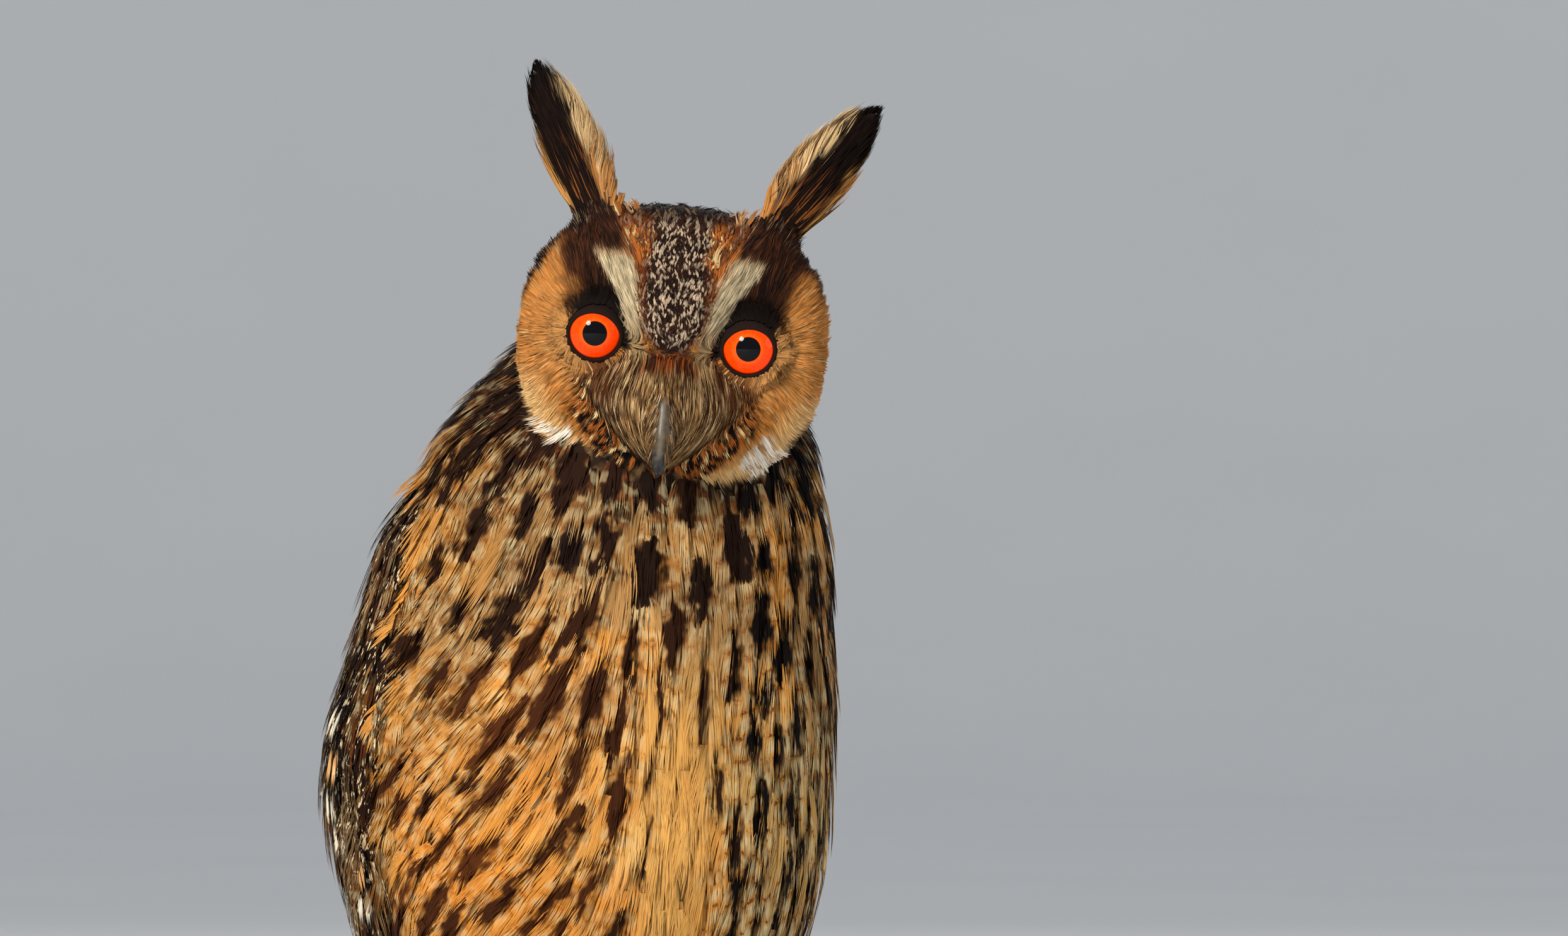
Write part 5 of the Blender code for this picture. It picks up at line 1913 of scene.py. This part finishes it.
def make_studio():
    """A pale floor that curves up into a wall all round, a pale sky and three soft lights."""
    scene = bpy.context.scene
    scene.view_settings.view_transform = "Standard"
    scene.world = bpy.data.worlds.new("world")
    scene.world.use_nodes = True
    sky = scene.world.node_tree.nodes["Background"]
    sky.inputs["Color"].default_value = (0.88, 0.93, 1.0, 1)
    sky.inputs["Strength"].default_value = 0.39

    rows = [(r, 0) for r in (0.3, 0.8, 2, 4, 6)]
    rows += [(6 + 2 * math.sin(a), 2 - 2 * math.cos(a)) for a in np.linspace(0.1, math.pi / 2, 12)]
    points, faces = turned([*rows, (8, 4.5)], 96, (0,))
    mesh_object("floor", points, faces[:, ::-1], floor_material())

    add_light("key", (-2.15, -1.65, 1.9), 0.9, 136, (1.0, 0.94, 0.85))
    add_light("fill", (2.2, -1.8, 0.9), 1.4, 11, (0.97, 0.98, 1.0))
    add_light("back", (1.2, 2.2, 1.9), 1.0, 45, (1.0, 0.98, 0.95))


def add_light(name, place, size, power, colour):
    """A round light that faces the owl's breast."""
    light = bpy.data.lights.new(name, "AREA")
    light.shape = "DISK"
    light.size = size
    light.energy = power
    light.color = colour
    obj = placed(name, light)
    obj.location = place
    obj.rotation_euler = (Vector((0, 0, 0.26)) - Vector(place)).to_track_quat("-Z", "Y").to_euler()
    obj.visible_camera = False


def make_camera():
    """The photo's view: level, from the owl's right front, framed from ears to lower belly."""
    turn = math.radians(-25)
    back = Vector((math.sin(turn), -math.cos(turn), 0))
    across = Vector((math.cos(turn), math.sin(turn), 0))
    distance = 2.5
    width_in_view = 0.3978
    camera = bpy.data.cameras.new("camera")
    camera.sensor_width = 36
    camera.lens = camera.sensor_width * distance / width_in_view
    camera.clip_end = 50
    obj = placed("camera", camera)
    obj.location = across * 0.0388 + Vector((0, 0, 0.2888)) + back * distance
    obj.rotation_euler = (-back).to_track_quat("-Z", "Y").to_euler()
    bpy.context.scene.camera = obj


def main():
    skin = Skin()
    feathers = feather_material("feathers")
    speckled = feather_material("speckled_feathers", 0.8)
    flight = flight_material()
    make_skin(skin, skin_material())
    coat_head(skin, feathers)
    coat_ears(skin, feathers)
    coat_body(skin, feathers)
    coat_wings(skin, speckled)
    wing_blades(skin, flight, 1)
    wing_blades(skin, flight, -1)
    tail_blades(skin, flight)
    coat_tail(skin, feathers)
    coat_legs(skin, feathers)
    eye = eye_material()
    make_eye(1, eye)
    make_eye(-1, eye)
    make_bill(horn_material("bill_horn"))
    make_claws(horn_material("claw_horn", rgb(0.07, 0.065, 0.07)))
    make_perch(bark_material())
    make_stand()
    make_studio()
    make_camera()


main()
